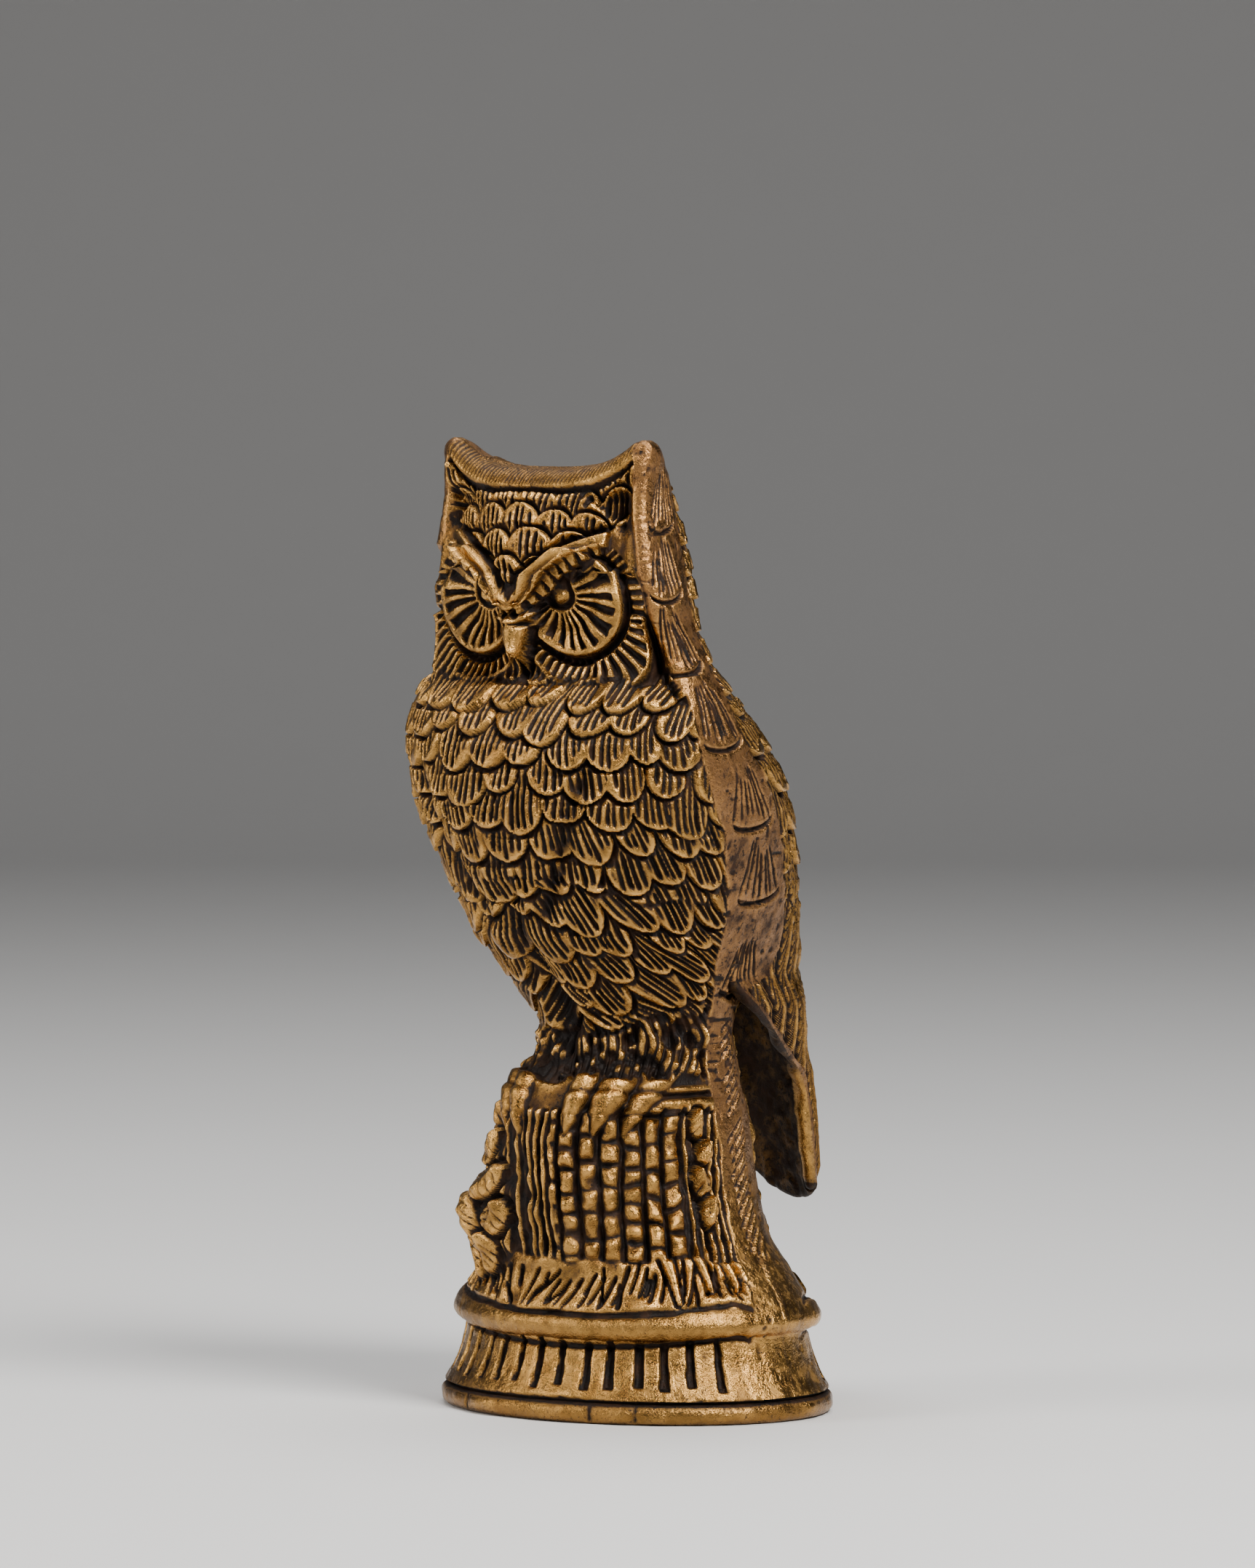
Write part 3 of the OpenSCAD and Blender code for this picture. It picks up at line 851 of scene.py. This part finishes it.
def sculpt(points, normals, height, cut):
    """Displaced points with their patina and wear, from relief in millimetres, with painted shade on
    the thighs and breast and the plinth lighter.
    """
    z = points[..., 2]
    grain = 0.05 * noise(points, 0.8, 60) + 0.06 * noise(points, 2.0, 61)
    sunk = 0.4 * step(14, 18, z)
    total = height - cut + grain
    moved = points + normals * (total - sunk)[..., None]
    edges = total - blur(total, EDGE_REACH)
    swells = total - blur(total, SWELL_REACH)
    # Painted shade: the thighs, which face downward, are darker, and the breast a little darker.
    painted_shade = 0.22 * band(48, 72, 10, z) + 0.06 * band(72, 97, 5, z)
    # The plinth is lighter.
    plinth = step(26, 13, z)
    patina_and_shade = 0.50 + painted_shade - 0.14 * plinth + cut - 1.4 * edges - 0.6 * swells
    wear_and_shade = 1.7 * edges + 0.6 * swells - 0.5 * painted_shade + 0.3 * plinth
    return moved, np.clip(patina_and_shade, 0, 1), np.clip(wear_and_shade, 0, 1)


def grid_faces(rows, columns, flip):
    """Quads over a grid of rows by columns of points."""
    i, j = np.meshgrid(np.arange(rows - 1), np.arange(columns - 1), indexing="ij")
    a = (i * columns + j).ravel()
    quads = np.stack([a, a + 1, a + columns + 1, a + columns], 1)
    return quads[:, ::-1] if flip else quads


def add_mesh(name, parts, material, nodes):
    """One smooth mesh piece from parts: (points grid, patina, wear, strip, flip).

    Patina, wear and strip are grids too, or one number each. The patina and wear layers also hold
    painted shade on the thighs and breast.
    """
    points, faces = [], []
    layers = [[], [], []]
    start = 0
    for grid, patina_and_shade, wear_and_shade, strip, flip in parts:
        rows, columns = grid.shape[:2]
        points.append(grid.reshape(-1, 3))
        faces.append(grid_faces(rows, columns, flip) + start)
        for layer, values in zip(layers, (patina_and_shade, wear_and_shade, strip)):
            layer.append(np.broadcast_to(values, (rows, columns)).ravel())
        start += rows * columns
    points = np.concatenate(points) * M_PER_MM
    faces = np.concatenate(faces)
    mesh = bpy.data.meshes.new(name)
    mesh.vertices.add(len(points))
    mesh.vertices.foreach_set("co", points.ravel())
    mesh.loops.add(faces.size)
    mesh.loops.foreach_set("vertex_index", faces.ravel().astype(np.int32))
    mesh.polygons.add(len(faces))
    mesh.polygons.foreach_set("loop_start", np.arange(0, faces.size, 4, dtype=np.int32))
    mesh.update(calc_edges=True)
    mesh.polygons.foreach_set("use_smooth", np.ones(len(faces), bool))
    for label, layer in zip(("patina_and_shade", "wear_and_shade", "strip"), layers):
        attribute = mesh.attributes.new(label, "FLOAT", "POINT")
        attribute.data.foreach_set("value", np.concatenate(layer).astype(np.float32))
    mesh.materials.append(material)
    piece = bpy.data.objects.new(name, mesh)
    bpy.context.scene.collection.objects.link(piece)
    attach(piece, "root")
    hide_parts(*nodes)


# ------------------------------------------------------------------- the material


class Shading:
    """A material under its Principled shader, with a short method for each kind of node."""

    def __init__(self, name):
        self.material = bpy.data.materials.new(name)
        self.material.use_nodes = True
        self.nodes = self.material.node_tree.nodes
        self.shader = self.nodes["Principled BSDF"]
        self.place = self.nodes.new("ShaderNodeTexCoord").outputs["Object"]

    def feed(self, socket, value):
        """Give an input socket a number, a colour or the output of another node."""
        if isinstance(value, (int, float)):
            socket.default_value = value
        elif isinstance(value, tuple):
            socket.default_value = (*value, 1)
        else:
            self.material.node_tree.links.new(value, socket)

    def layer(self, label):
        """A value stored on the points of the mesh."""
        node = self.nodes.new("ShaderNodeAttribute")
        node.attribute_name = label
        return node.outputs["Fac"]

    def calc(self, operation, a, b):
        """A sum, a difference or a product."""
        node = self.nodes.new("ShaderNodeMath")
        node.operation = operation
        self.feed(node.inputs[0], a)
        self.feed(node.inputs[1], b)
        return node.outputs[0]

    def mix(self, factor, a, b):
        """A colour mix, from a at factor 0 to b at factor 1."""
        node = self.nodes.new("ShaderNodeMix")
        node.data_type = "RGBA"
        for label, value in (("Factor", factor), ("A", a), ("B", b)):
            self.feed(node.inputs[label], value)
        return node.outputs["Result"]

    def noise(self, scale, detail=4, rough=0.55):
        """A noise texture in object space, features per metre given by scale."""
        node = self.nodes.new("ShaderNodeTexNoise")
        for label, value in (
            ("Scale", scale), ("Detail", detail), ("Roughness", rough), ("Vector", self.place)
        ):
            self.feed(node.inputs[label], value)
        return node.outputs["Fac"]

    def remap(self, value, low, high, to_low=0.0, to_high=1.0):
        """A value stretched from low..high to to_low..to_high, and clamped."""
        node = self.nodes.new("ShaderNodeMapRange")
        for label, number in (
            ("Value", value), ("From Min", low), ("From Max", high), ("To Min", to_low),
            ("To Max", to_high),
        ):
            self.feed(node.inputs[label], number)
        return node.outputs["Result"]

    def relief(self, height, strength, distance):
        """Bumps too fine for the mesh."""
        node = self.nodes.new("ShaderNodeBump")
        node.inputs["Strength"].default_value = strength
        node.inputs["Distance"].default_value = distance
        self.feed(node.inputs["Height"], height)
        self.feed(self.shader.inputs["Normal"], node.outputs["Normal"])


MID_BRASS = (0.19, 0.088, 0.021)
GOLD_BRASS = (0.70, 0.385, 0.105)
COPPER_BRASS = (0.31, 0.152, 0.054)
OLIVE_BRASS = (0.12, 0.062, 0.017)
DARK_PATINA = (0.008, 0.005, 0.004)
BROWN_PATINA = (0.040, 0.017, 0.007)


def brass_material(name, plain_tone=MID_BRASS):
    """Old rubbed brass: dark in the cuts, bright on the edges, speckled all over, and darker where
    the layers carry painted shade.
    """
    look = Shading(name)
    broad = look.noise(70, 3)
    mottle = look.noise(420, 5, 0.62)
    speck = look.noise(1500, 4, 0.7)
    fine = look.noise(3800, 2, 0.6)

    base = look.mix(look.remap(broad, 0.35, 0.68), plain_tone, OLIVE_BRASS)
    base = look.mix(look.layer("strip"), base, COPPER_BRASS)
    # The wear layer is lowered where shade is painted on the thighs and breast.
    worn = look.calc("MULTIPLY", look.layer("wear_and_shade"), look.remap(mottle, 0.32, 0.62, 0.2, 1.0))
    base = look.mix(worn, base, GOLD_BRASS)

    # Patina, grime and specks darken the brass, and so does the painted shade of the thighs and
    # breast that the patina layer carries.
    grime_and_shade = look.calc("ADD", look.layer("patina_and_shade"), look.remap(mottle, 0.3, 0.7, -0.22, 0.22))
    grime_and_shade = look.calc("ADD", grime_and_shade, look.remap(speck, 0.55, 0.70, 0.0, 0.42))
    grime_and_shade = look.calc("ADD", grime_and_shade, look.remap(fine, 0.60, 0.72, 0.0, 0.35))
    grime_and_shade = look.remap(grime_and_shade, 0.32, 0.78)
    dark = look.mix(look.remap(mottle, 0.45, 0.75), DARK_PATINA, BROWN_PATINA)
    look.feed(look.shader.inputs["Base Color"], look.mix(grime_and_shade, base, dark))

    metal = look.calc("SUBTRACT", 1.0, look.calc("MULTIPLY", grime_and_shade, 0.75))
    look.feed(look.shader.inputs["Metallic"], metal)
    rough = look.remap(mottle, 0.3, 0.7, 0.20, 0.34)
    rough = look.calc("ADD", rough, look.calc("MULTIPLY", grime_and_shade, 0.30))
    rough = look.calc("SUBTRACT", rough, look.calc("MULTIPLY", worn, 0.06))
    look.feed(look.shader.inputs["Roughness"], rough)
    look.shader.inputs["Specular IOR Level"].default_value = 0.2

    grit = look.calc("ADD", speck, look.calc("MULTIPLY", mottle, 0.7))
    grit = look.calc("ADD", grit, look.calc("MULTIPLY", fine, 0.4))
    look.relief(grit, 0.6, 0.0003)
    return look.material


cast = brass_material("cast_brass_patina_and_shade")
seam_metal = brass_material("seam_brass_filed", COPPER_BRASS)


# ---------------------------------------------------------------- the front casting


def stacked_heights(rows, splits, spacings, side):
    """Heights over all the splits, and the row numbers where the pieces meet."""
    heights = [np.array(splits[:1])]
    meets = [0]
    for low, high, spacing in zip(splits, splits[1:], spacings):
        heights.append(even_heights(rows, low, high, spacing, side)[1:])
        meets.append(meets[-1] + len(heights[-1]))
    return np.concatenate(heights), meets


def tame_normals(normals, points, crown):
    """Normals along the seam lie in the plane x, z, so that the castings meet."""
    for column, sign in ((0, 1), (-1, -1)):
        along = np.gradient(points[:, column], axis=0)
        n = np.stack([np.abs(along[:, 2]) * sign, 0 * along[:, 0], -sign * along[:, 0]], 1)
        n /= np.maximum(np.linalg.norm(n, axis=1, keepdims=True), 1e-9)
        normals[:, column] = n
    if crown:
        x = points[-1, :, 0]
        rise = (crown_at(x + 0.05) - crown_at(x - 0.05)) / 0.1
        n = np.stack([-rise, 0 * x, np.ones_like(x)], 1)
        normals[-1] = n / np.linalg.norm(n, axis=1, keepdims=True)
    return normals


def shell(rows, splits, spacings, side, columns, edge_offset, relief):
    """The displaced grid of a half shell with its layers, and where it is split."""
    z, meets = stacked_heights(rows, splits, spacings, side)
    crowding = 0.45 if side > 0 else 0.0
    points, arc, length = half_sections(rows, z, side, columns, edge_offset, crowding)
    normals = normals_of(points, -side)
    normals = tame_normals(normals, points, splits[-1] == CROWN_Z)
    height, cut, strip = relief(points, arc, length)
    moved, patina_and_shade, wear_and_shade = sculpt(points, normals, height, cut)
    patina_and_shade = np.clip(patina_and_shade - 0.12 * strip, 0, 1)
    # Low down, where it runs onto the plinth, the strip is lighter instead of copper-toned.
    copper = strip * step(14, 40, points[..., 2])
    wear_and_shade = np.clip(wear_and_shade + 0.55 * (strip - copper), 0, 1)
    return {"grid": (moved, patina_and_shade, wear_and_shade, copper), "meets": meets, "base": points, "out": normals}


def rows_of(made, k, flip):
    """The part of a shell between two splits, as add_mesh takes it."""
    rows = slice(made["meets"][k], made["meets"][k + 1] + 1)
    return (*(layer[rows] for layer in made["grid"]), flip)


def lip_of(edge, flip, depth=1.6, rise=1.5):
    """A short dark lip that turns inward and up from the lowest row of a casting."""
    inward = edge * np.array([1 - depth / PLINTH_X, 1 - depth / PLINTH_Y, 1])
    rows = np.stack([edge, (edge + inward) / 2, inward, inward + [0, 0, rise]])
    return rows, 0.9, 0.0, 0.0, flip


def add_castings(names, made, flip, extra, node):
    """A piece for each part of a shell. The extra grids go with the lowest one."""
    for k, name in enumerate(names):
        parts = [rows_of(made, k, flip)] + (extra if k == 0 else [])
        add_mesh(name, parts, cast, [node])


# Heights at which the castings are split into pieces, besides the lap joint.
PLINTH_TOP = 14.2
NECK_Z = 96.0

front = shell(FRONT_ROWS, (SKIRT_Z, PLINTH_TOP, LAP_Z, NECK_Z, CROWN_Z), (0.24, 0.25, 0.22, 0.17),
              -1, COLUMNS_FRONT, SEAM_HALF, front_relief)
front_moved = front["grid"][0]
add_castings(("plinth_front", "stump_front", "breast_and_thighs", "face_and_brow"), front,
             False, [lip_of(front_moved[0], True)], "front_casting")

# ---------------------------------------------------------------- the rear castings


# Rows of the grid over which the relief dies out at the tail's end.
HEM_ROWS = 12
# Rows by which the tail's inner face runs on above the lap joint, out of sight.
HIDDEN_ROWS = 12


def quill_relief(u, z, p, height, cut):
    """The long quills of the wings and the tail, over the relief of the short feathers."""
    narrow = np.interp(z, [TAIL_Z, 45, 60, 74], [0.62, 0.8, 1.0, 1.0])
    quill = u / narrow / 4.3 + 0.16 * noise(p, 8.0, 93)
    nearest = np.round(quill)
    across = quill - nearest
    vane = 0.5 * np.sqrt(np.maximum(1 - (across / 0.52) ** 2, 0)) + 0.3 * bump(across, 0.06)
    vane = vane + 0.35 * across * np.sign(u)
    split = 0.85 * bump(np.abs(across) - 0.5, 0.06)
    barbs = (z + 8.5 * np.abs(across) + 0.8 * noise(p, 3.0, 94)) / 1.5
    barb_cut = 0.5 * np.clip(0.5 + 0.7 * np.cos(barbs * 2 * math.pi), 0, 1)
    barb_cut = barb_cut * band(0.1, 0.42, 0.04, np.abs(across)) * (0.7 + 0.4 * noise(p, 4.0, 19))
    tips = 70 - 5.0 * np.abs(np.sin(nearest * 1.7)) + 3.2 * (2 * across) ** 2
    long = step(tips + 0.3, tips - 0.3, z)
    height, cut = lay(long, (vane, split + barb_cut), (height, cut))
    return height, cut + 0.8 * bump(z - tips, 0.45)


def wing_relief(p, arc, length):
    """Height, cut and strip mask over the head's back, the wings and the tail."""
    x, z = p[..., 0], p[..., 2]
    u = length / 2 - arc
    w = np.minimum(arc, length - arc)
    _, strip_rear = strip_bounds(z, x)
    free = step(57.5, 55.5, z)
    edge = spread(free, 0.9, strip_rear) + strip_wander(p)
    on_strip = step(edge + 0.25, edge - 0.25, w)

    warp = 0.5 * noise(p, 6.0, 91)
    head_feathers = feathers(u + warp, z + warp, 5.2, 3.8, 3.0, 17, 0.22)
    wing_feathers = feathers(u + warp, z + warp, 6.6, 5.4, 4.4, 9, 0.22)
    head = step(92, 95, z + 0.8 * noise(p, 3.0, 92))
    height, cut = quill_relief(u, z, p, *lay(head, head_feathers, wing_feathers))
    hem = np.minimum(np.arange(len(z)) / HEM_ROWS, 1)[:, None]
    height, cut, _, _ = crowned((height * hem, cut * hem), x, z, p)
    strip_h, strip_cut = strip_relief(w + SEAM_HALF, z, p)
    height, cut = lay(on_strip, (strip_h, strip_cut * step(55, 57, z)), (height, cut))
    return height, cut, on_strip


def stump_relief(p, arc, length):
    """Height, cut and strip mask over the rear of the stump and the plinth."""
    x, z = p[..., 0], p[..., 2]
    u = length / 2 - arc
    w = np.minimum(arc, length - arc)
    _, strip_rear = strip_bounds(z, x)
    on_strip = step(strip_rear + 0.25, strip_rear - 0.25, w + strip_wander(p))
    bark = step(19.5, 20.8, z + 0.7 * noise(p, 3.0, 13))
    relief = lay(bark, bark_relief(-u, z, p), grass_relief(u, z, p, length / 2))
    base = step(14.4, 13.9, z - sag_at(u))
    strip_h, strip_cut = strip_relief(w + SEAM_HALF, z, p)
    strip = strip_h * step(14, 20, z), strip_cut
    height, cut = lay(on_strip, strip, lay(base, (0, 0), relief))
    bead, plinth_cut = plinth_relief(u / length * PLINTH_ARC, w, z, p)
    in_sight = step(59, 57, z)
    return (height + bead) * in_sight, (cut + plinth_cut) * in_sight, on_strip


back = shell(TAIL_ROWS + BACK_ROWS[1:], (TAIL_Z, LAP_Z, NECK_Z, CROWN_Z), (0.25, 0.22, 0.22),
             1, COLUMNS_BACK, 0.0, wing_relief)
stump = shell(STUMP_ROWS, (SKIRT_Z, PLINTH_TOP, 63.0), (0.26, 0.28), 1, COLUMNS_STUMP, 0.0,
              stump_relief)


def rolled_edge(outer, inner, outward, steps=6):
    """A rounded rim between the edges of an outer and an inner surface."""
    middle = (outer + inner) / 2
    half = (outer - inner) / 2
    size = np.linalg.norm(half, axis=1, keepdims=True)
    size = size * (1.2 + 0.8 * noise(middle, 4.0, 100))[:, None]
    angles = np.linspace(0, math.pi, steps + 1)
    return np.stack([middle + half * math.cos(a) + outward * size * math.sin(a) for a in angles])


def rolled_corner(outer, inner, first, second, steps=6):
    """A quarter ball between the ends of two rolled edges."""
    turns = np.linspace(0, math.pi / 2, steps + 1)
    ways = [first * math.cos(turn) + second * math.sin(turn) for turn in turns]
    return np.stack([rolled_edge(outer[None], inner[None], way)[:, 0] for way in ways])


def tail_inside():
    """The inner face of the tail and the free wing edges, and the rims that close them.

    The face is a rough dark scoop, a wall's thickness inside the smooth outer form.
    """
    rows = slice(0, back["meets"][1] + HIDDEN_ROWS)
    outer, base, out = back["grid"][0][rows], back["base"][rows], back["out"][rows]
    thick = 0.4 + np.interp(base[..., 2], [TAIL_Z, 34, 46], [1.5, 1.9, WALL])
    inner = base - out * thick[..., None]
    rough = 0.35 * noise(inner, 2.2, 95) + 0.2 * noise(inner, 0.9, 96)
    inner = inner + out * rough[..., None]

    down = np.array([0, 0, -1.0])
    rims = [(rolled_edge(outer[0], inner[0], down), False, 0)]
    for column, sideways, flip in ((0, 0.25, False), (-1, -0.25, True)):
        edges = outer[:, column], inner[:, column]
        forward = np.array([sideways, -1.0, 0])
        rims.append((rolled_edge(*edges, forward), flip, 1))
        rims.append((rolled_corner(edges[0][0], edges[1][0], forward, down), flip, 0))
    parts = [(inner, 0.72, 0.3, 0.0, False)]
    for rim, flip, bright in rims:
        rubbed = bright * step(47, 41, rim[..., 2]) * step(TAIL_Z, TAIL_Z + 3, rim[..., 2])
        parts.append((rim, 0.75 - 0.45 * rubbed, 0.1 + 0.6 * rubbed, 0.0, flip))
    return parts


add_castings(("tail_and_wing_tips", "wings_and_back", "head_back"), back, True, tail_inside(),
             "back_casting")
stump_moved = stump["grid"][0]
add_castings(("plinth_back", "stump_back"), stump, True, [lip_of(stump_moved[0], False)],
             "stump_back_casting")

# ------------------------------------------------------------ the brazes and the sole


def edge_points(edges, z):
    """Points along several edge curves, given low to high, at heights z."""
    curve = np.concatenate(edges)
    return np.stack([np.interp(z, curve[:, 2], curve[:, c]) for c in range(3)], 1)


def braze(column, name, node):
    """The filler that joins the castings up one side."""
    near = front_moved[:, column]
    stump_edge = stump_moved[:, column]
    stump_edge = stump_edge[stump_edge[:, 2] < LAP_Z]
    back_edge = back["grid"][0][back["meets"][1]:, column]
    far = edge_points([stump_edge, back_edge], near[:, 2])
    out = front["out"][:, column, None]
    share = np.linspace(0, 1, 9)
    line = near[:, None] + (far - near)[:, None] * share[:, None]
    across_seam = np.broadcast_to(SEAM_W * (share - 0.5), line.shape[:2])
    cut = strip_relief(across_seam, line[..., 2], line)[1]
    # The castings' own cuts at both edges are in the line already.
    extra = cut - cut[:, :1] * (1 - share) - cut[:, -1:] * share
    bead = 0.22 * share * (1 - share) * (1 + noise(line, 5.0, 97))
    grid = line + out * (bead - extra)[..., None]
    patina_and_shade, wear_and_shade, strip = (layer[:, column, None] for layer in front["grid"][1:])
    patina_and_shade = np.clip(patina_and_shade + 2.2 * extra, 0, 1)
    add_mesh(name, [(grid, patina_and_shade, wear_and_shade, strip, column == 0)], seam_metal, [node])


braze(0, "side_braze_left", "seam_braze_left")
braze(-1, "side_braze_right", "seam_braze_right")

front_crown = front_moved[-1]
back_crown = back["grid"][0][-1]
order = np.argsort(back_crown[:, 0])
matched = np.stack(
    [np.interp(front_crown[:, 0], back_crown[order, 0], back_crown[order, c]) for c in (0, 1, 2)], 1
)
crown = np.stack([front_crown + (matched - front_crown) * s for s in np.linspace(0, 1, 5)])
add_mesh("crown_braze", [(crown, 0.15, 0.3, 1.0, False)], seam_metal,
         ["seam_braze_crown"])

# The lap braze is hidden between the wall of the back and the flange of the stump.
lap_z = np.linspace(60, 63.8, 5)
shrink = [1 - WALL / 20, 1, 1]
lap_faces = []
for inset, flip in ((WALL, True), (LAP_INSET, False)):
    face = half_sections(BACK_ROWS, lap_z, 1, 60, -inset)[0]
    lap_faces.append((face * shrink, 0.6, 0.0, 0.0, flip))
add_mesh("lap_braze", lap_faces, seam_metal, ["tail_root_braze"])


def ring(profile, turns=420):
    """Points round the oval for a list of (distance inside the rim, height)."""
    angle = np.linspace(0, 2 * math.pi, turns + 1)
    circle = np.stack([np.cos(angle), np.sin(angle)], 1)
    rows = []
    for inset, z in profile:
        x, y = circle[:, 0] * (PLINTH_X - inset), circle[:, 1] * (PLINTH_Y - inset)
        rows.append(np.stack([x, y, np.full_like(x, z)], 1))
    return np.stack(rows)


def sole_part():
    """The sole plate with its hand-filed rim and three small dents."""
    rim_r = SOLE_T / 2
    profile = [(inset, 0.0) for inset in (20.0, 12.0, 5.0, 3.0, 2.0)]
    for k in range(15):
        a = math.radians(-90 + 180 * k / 14)
        profile.append((rim_r - rim_r * math.cos(a), rim_r + rim_r * math.sin(a)))
    profile += [(2.2, SOLE_T), (3.2, SOLE_T)]
    sole = ring(profile)
    x, y, z = (sole[..., c] for c in range(3))
    on_rim = bump(z - rim_r, 1.2) * (z > 0.2)
    wavy = on_rim * (0.32 * noise(sole, 4.0, 98) + 0.16 * noise(sole, 1.6, 99) - 0.1)
    away = sole * [1, 1, 0] / np.linalg.norm(sole[..., :2], axis=-1, keepdims=True)
    dents = 0.0
    for dent_x, dent_y in ((9.6, -21.1), (15.4, -18.8), (-12.5, -20.1)):
        dents = dents + 0.4 * bump(np.hypot(x - dent_x, y - dent_y), 0.28)
    dark = np.clip(0.25 + 0.9 * step(SOLE_T - 0.7, SOLE_T, z) + 2.0 * dents, 0, 1)
    dark = np.where(z < 0.15, 0.35, dark)
    shine = np.clip(0.55 * on_rim + 0.8 * wavy, 0, 1)
    return sole + away * (wavy - dents * on_rim)[..., None], dark, shine, 0.0, False


add_mesh("sole", [sole_part()], cast, ["sole_plate"])

braze_ring = ring([(1.5, SOLE_T - 0.1), (1.5, SKIRT_Z + 0.2), (3.8, SKIRT_Z + 0.2)])
add_mesh("sole_filler", [(braze_ring, 0.9, 0.0, 0.0, False)], seam_metal,
         ["sole_braze"])

# ------------------------------------------------------------ floor, light, camera


def plain_material(name, colour, rough):
    """A matt material of one soft tone, barely mottled."""
    look = Shading(name)
    pale = tuple(min(c * 1.02, 1) for c in colour)
    look.feed(look.shader.inputs["Base Color"], look.mix(look.noise(30), colour, pale))
    look.shader.inputs["Roughness"].default_value = rough
    return look.material


VIEW_AZIMUTH = math.radians(40)
to_camera = Vector((math.sin(VIEW_AZIMUTH), -math.cos(VIEW_AZIMUTH), 0))
to_right = Vector((math.cos(VIEW_AZIMUTH), math.sin(VIEW_AZIMUTH), 0))


def sweep_backdrop(name, near, far, radius, top, half_width):
    """A paper sweep: level floor, a rounded turn and an upright back."""
    profile = [(near, 0.0), (-far, 0.0)]
    for k in range(1, 25):
        a = math.radians(90 * k / 24)
        profile.append((-far - radius * math.sin(a), radius - radius * math.cos(a)))
    profile.append((-far - radius, top))
    corners = []
    for forward, up in profile:
        for right in (-half_width, half_width):
            corners.append(to_camera * forward + to_right * right + Vector((0, 0, up)))
    quads = [(k, k + 1, k + 3, k + 2) for k in range(0, len(corners) - 2, 2)]
    mesh = bpy.data.meshes.new(name)
    mesh.from_pydata([tuple(corner) for corner in corners], [], quads)
    mesh.polygons.foreach_set("use_smooth", [True] * len(quads))
    piece = bpy.data.objects.new(name, mesh)
    bpy.context.scene.collection.objects.link(piece)
    piece.data.materials.append(plain_material("pale_paper", (0.62, 0.62, 0.62), 0.85))


sweep_backdrop("floor_and_backdrop", 3.0, 1.2, 0.7, 3.5, 4.0)


def area_light(name, place, aim, size, power, colour=(1, 1, 1)):
    """A soft box aimed at a point."""
    data = bpy.data.lights.new(name, "AREA")
    data.shape = "RECTANGLE"
    data.size, data.size_y = size
    data.energy = power
    data.color = colour
    lamp = bpy.data.objects.new(name, data)
    bpy.context.scene.collection.objects.link(lamp)
    lamp.location = place
    lamp.rotation_euler = (Vector(aim) - Vector(place)).to_track_quat("-Z", "Y").to_euler()
    return lamp


middle = Vector((0, 0, 0.065))


def studio(forward, right, up):
    """A place given by distances towards the camera, to its right, and up."""
    return middle + to_camera * forward + to_right * right + Vector((0, 0, up))


WARM = (1.0, 0.97, 0.93)
area_light("key_soft_box", studio(0.45, 0.32, 0.50), middle, (0.30, 0.30), 10, WARM)
area_light("left_soft_box", studio(0.20, -0.60, 0.30), middle, (0.25, 0.5), 3.2, WARM)
area_light("top_soft_box", studio(-0.15, -0.05, 0.75), middle, (0.5, 0.4), 5)

world = bpy.data.worlds.new("studio")
world.use_nodes = True
world.node_tree.nodes["Background"].inputs["Color"].default_value = (0.30, 0.30, 0.31, 1)
world.node_tree.nodes["Background"].inputs["Strength"].default_value = 0.22
bpy.context.scene.world = world

# The lens is long, so that edges stay nearly parallel.
SENSOR_W_MM = 36
LENS_MM = 292.174
CAMERA_DISTANCE = 1.346154
CAMERA_TILT = math.radians(3.0)
# How far the middle of the base is to the right of the picture's middle, and below it.
BASE_OFF_CENTRE = 0.0012
BASE_BELOW_CENTRE = 0.082404

camera_data = bpy.data.cameras.new("camera")
camera_data.sensor_fit = "HORIZONTAL"
camera_data.sensor_width = SENSOR_W_MM
camera_data.lens = LENS_MM
camera_data.clip_start = 0.05
camera = bpy.data.objects.new("camera", camera_data)
bpy.context.scene.collection.objects.link(camera)
sight = -(to_camera * math.cos(CAMERA_TILT) + Vector((0, 0, math.sin(CAMERA_TILT))))
aim = to_right * -BASE_OFF_CENTRE + Vector((0, 0, BASE_BELOW_CENTRE / math.cos(CAMERA_TILT)))
camera.location = aim - sight * CAMERA_DISTANCE
camera.rotation_euler = sight.to_track_quat("-Z", "Y").to_euler()
bpy.context.scene.camera = camera
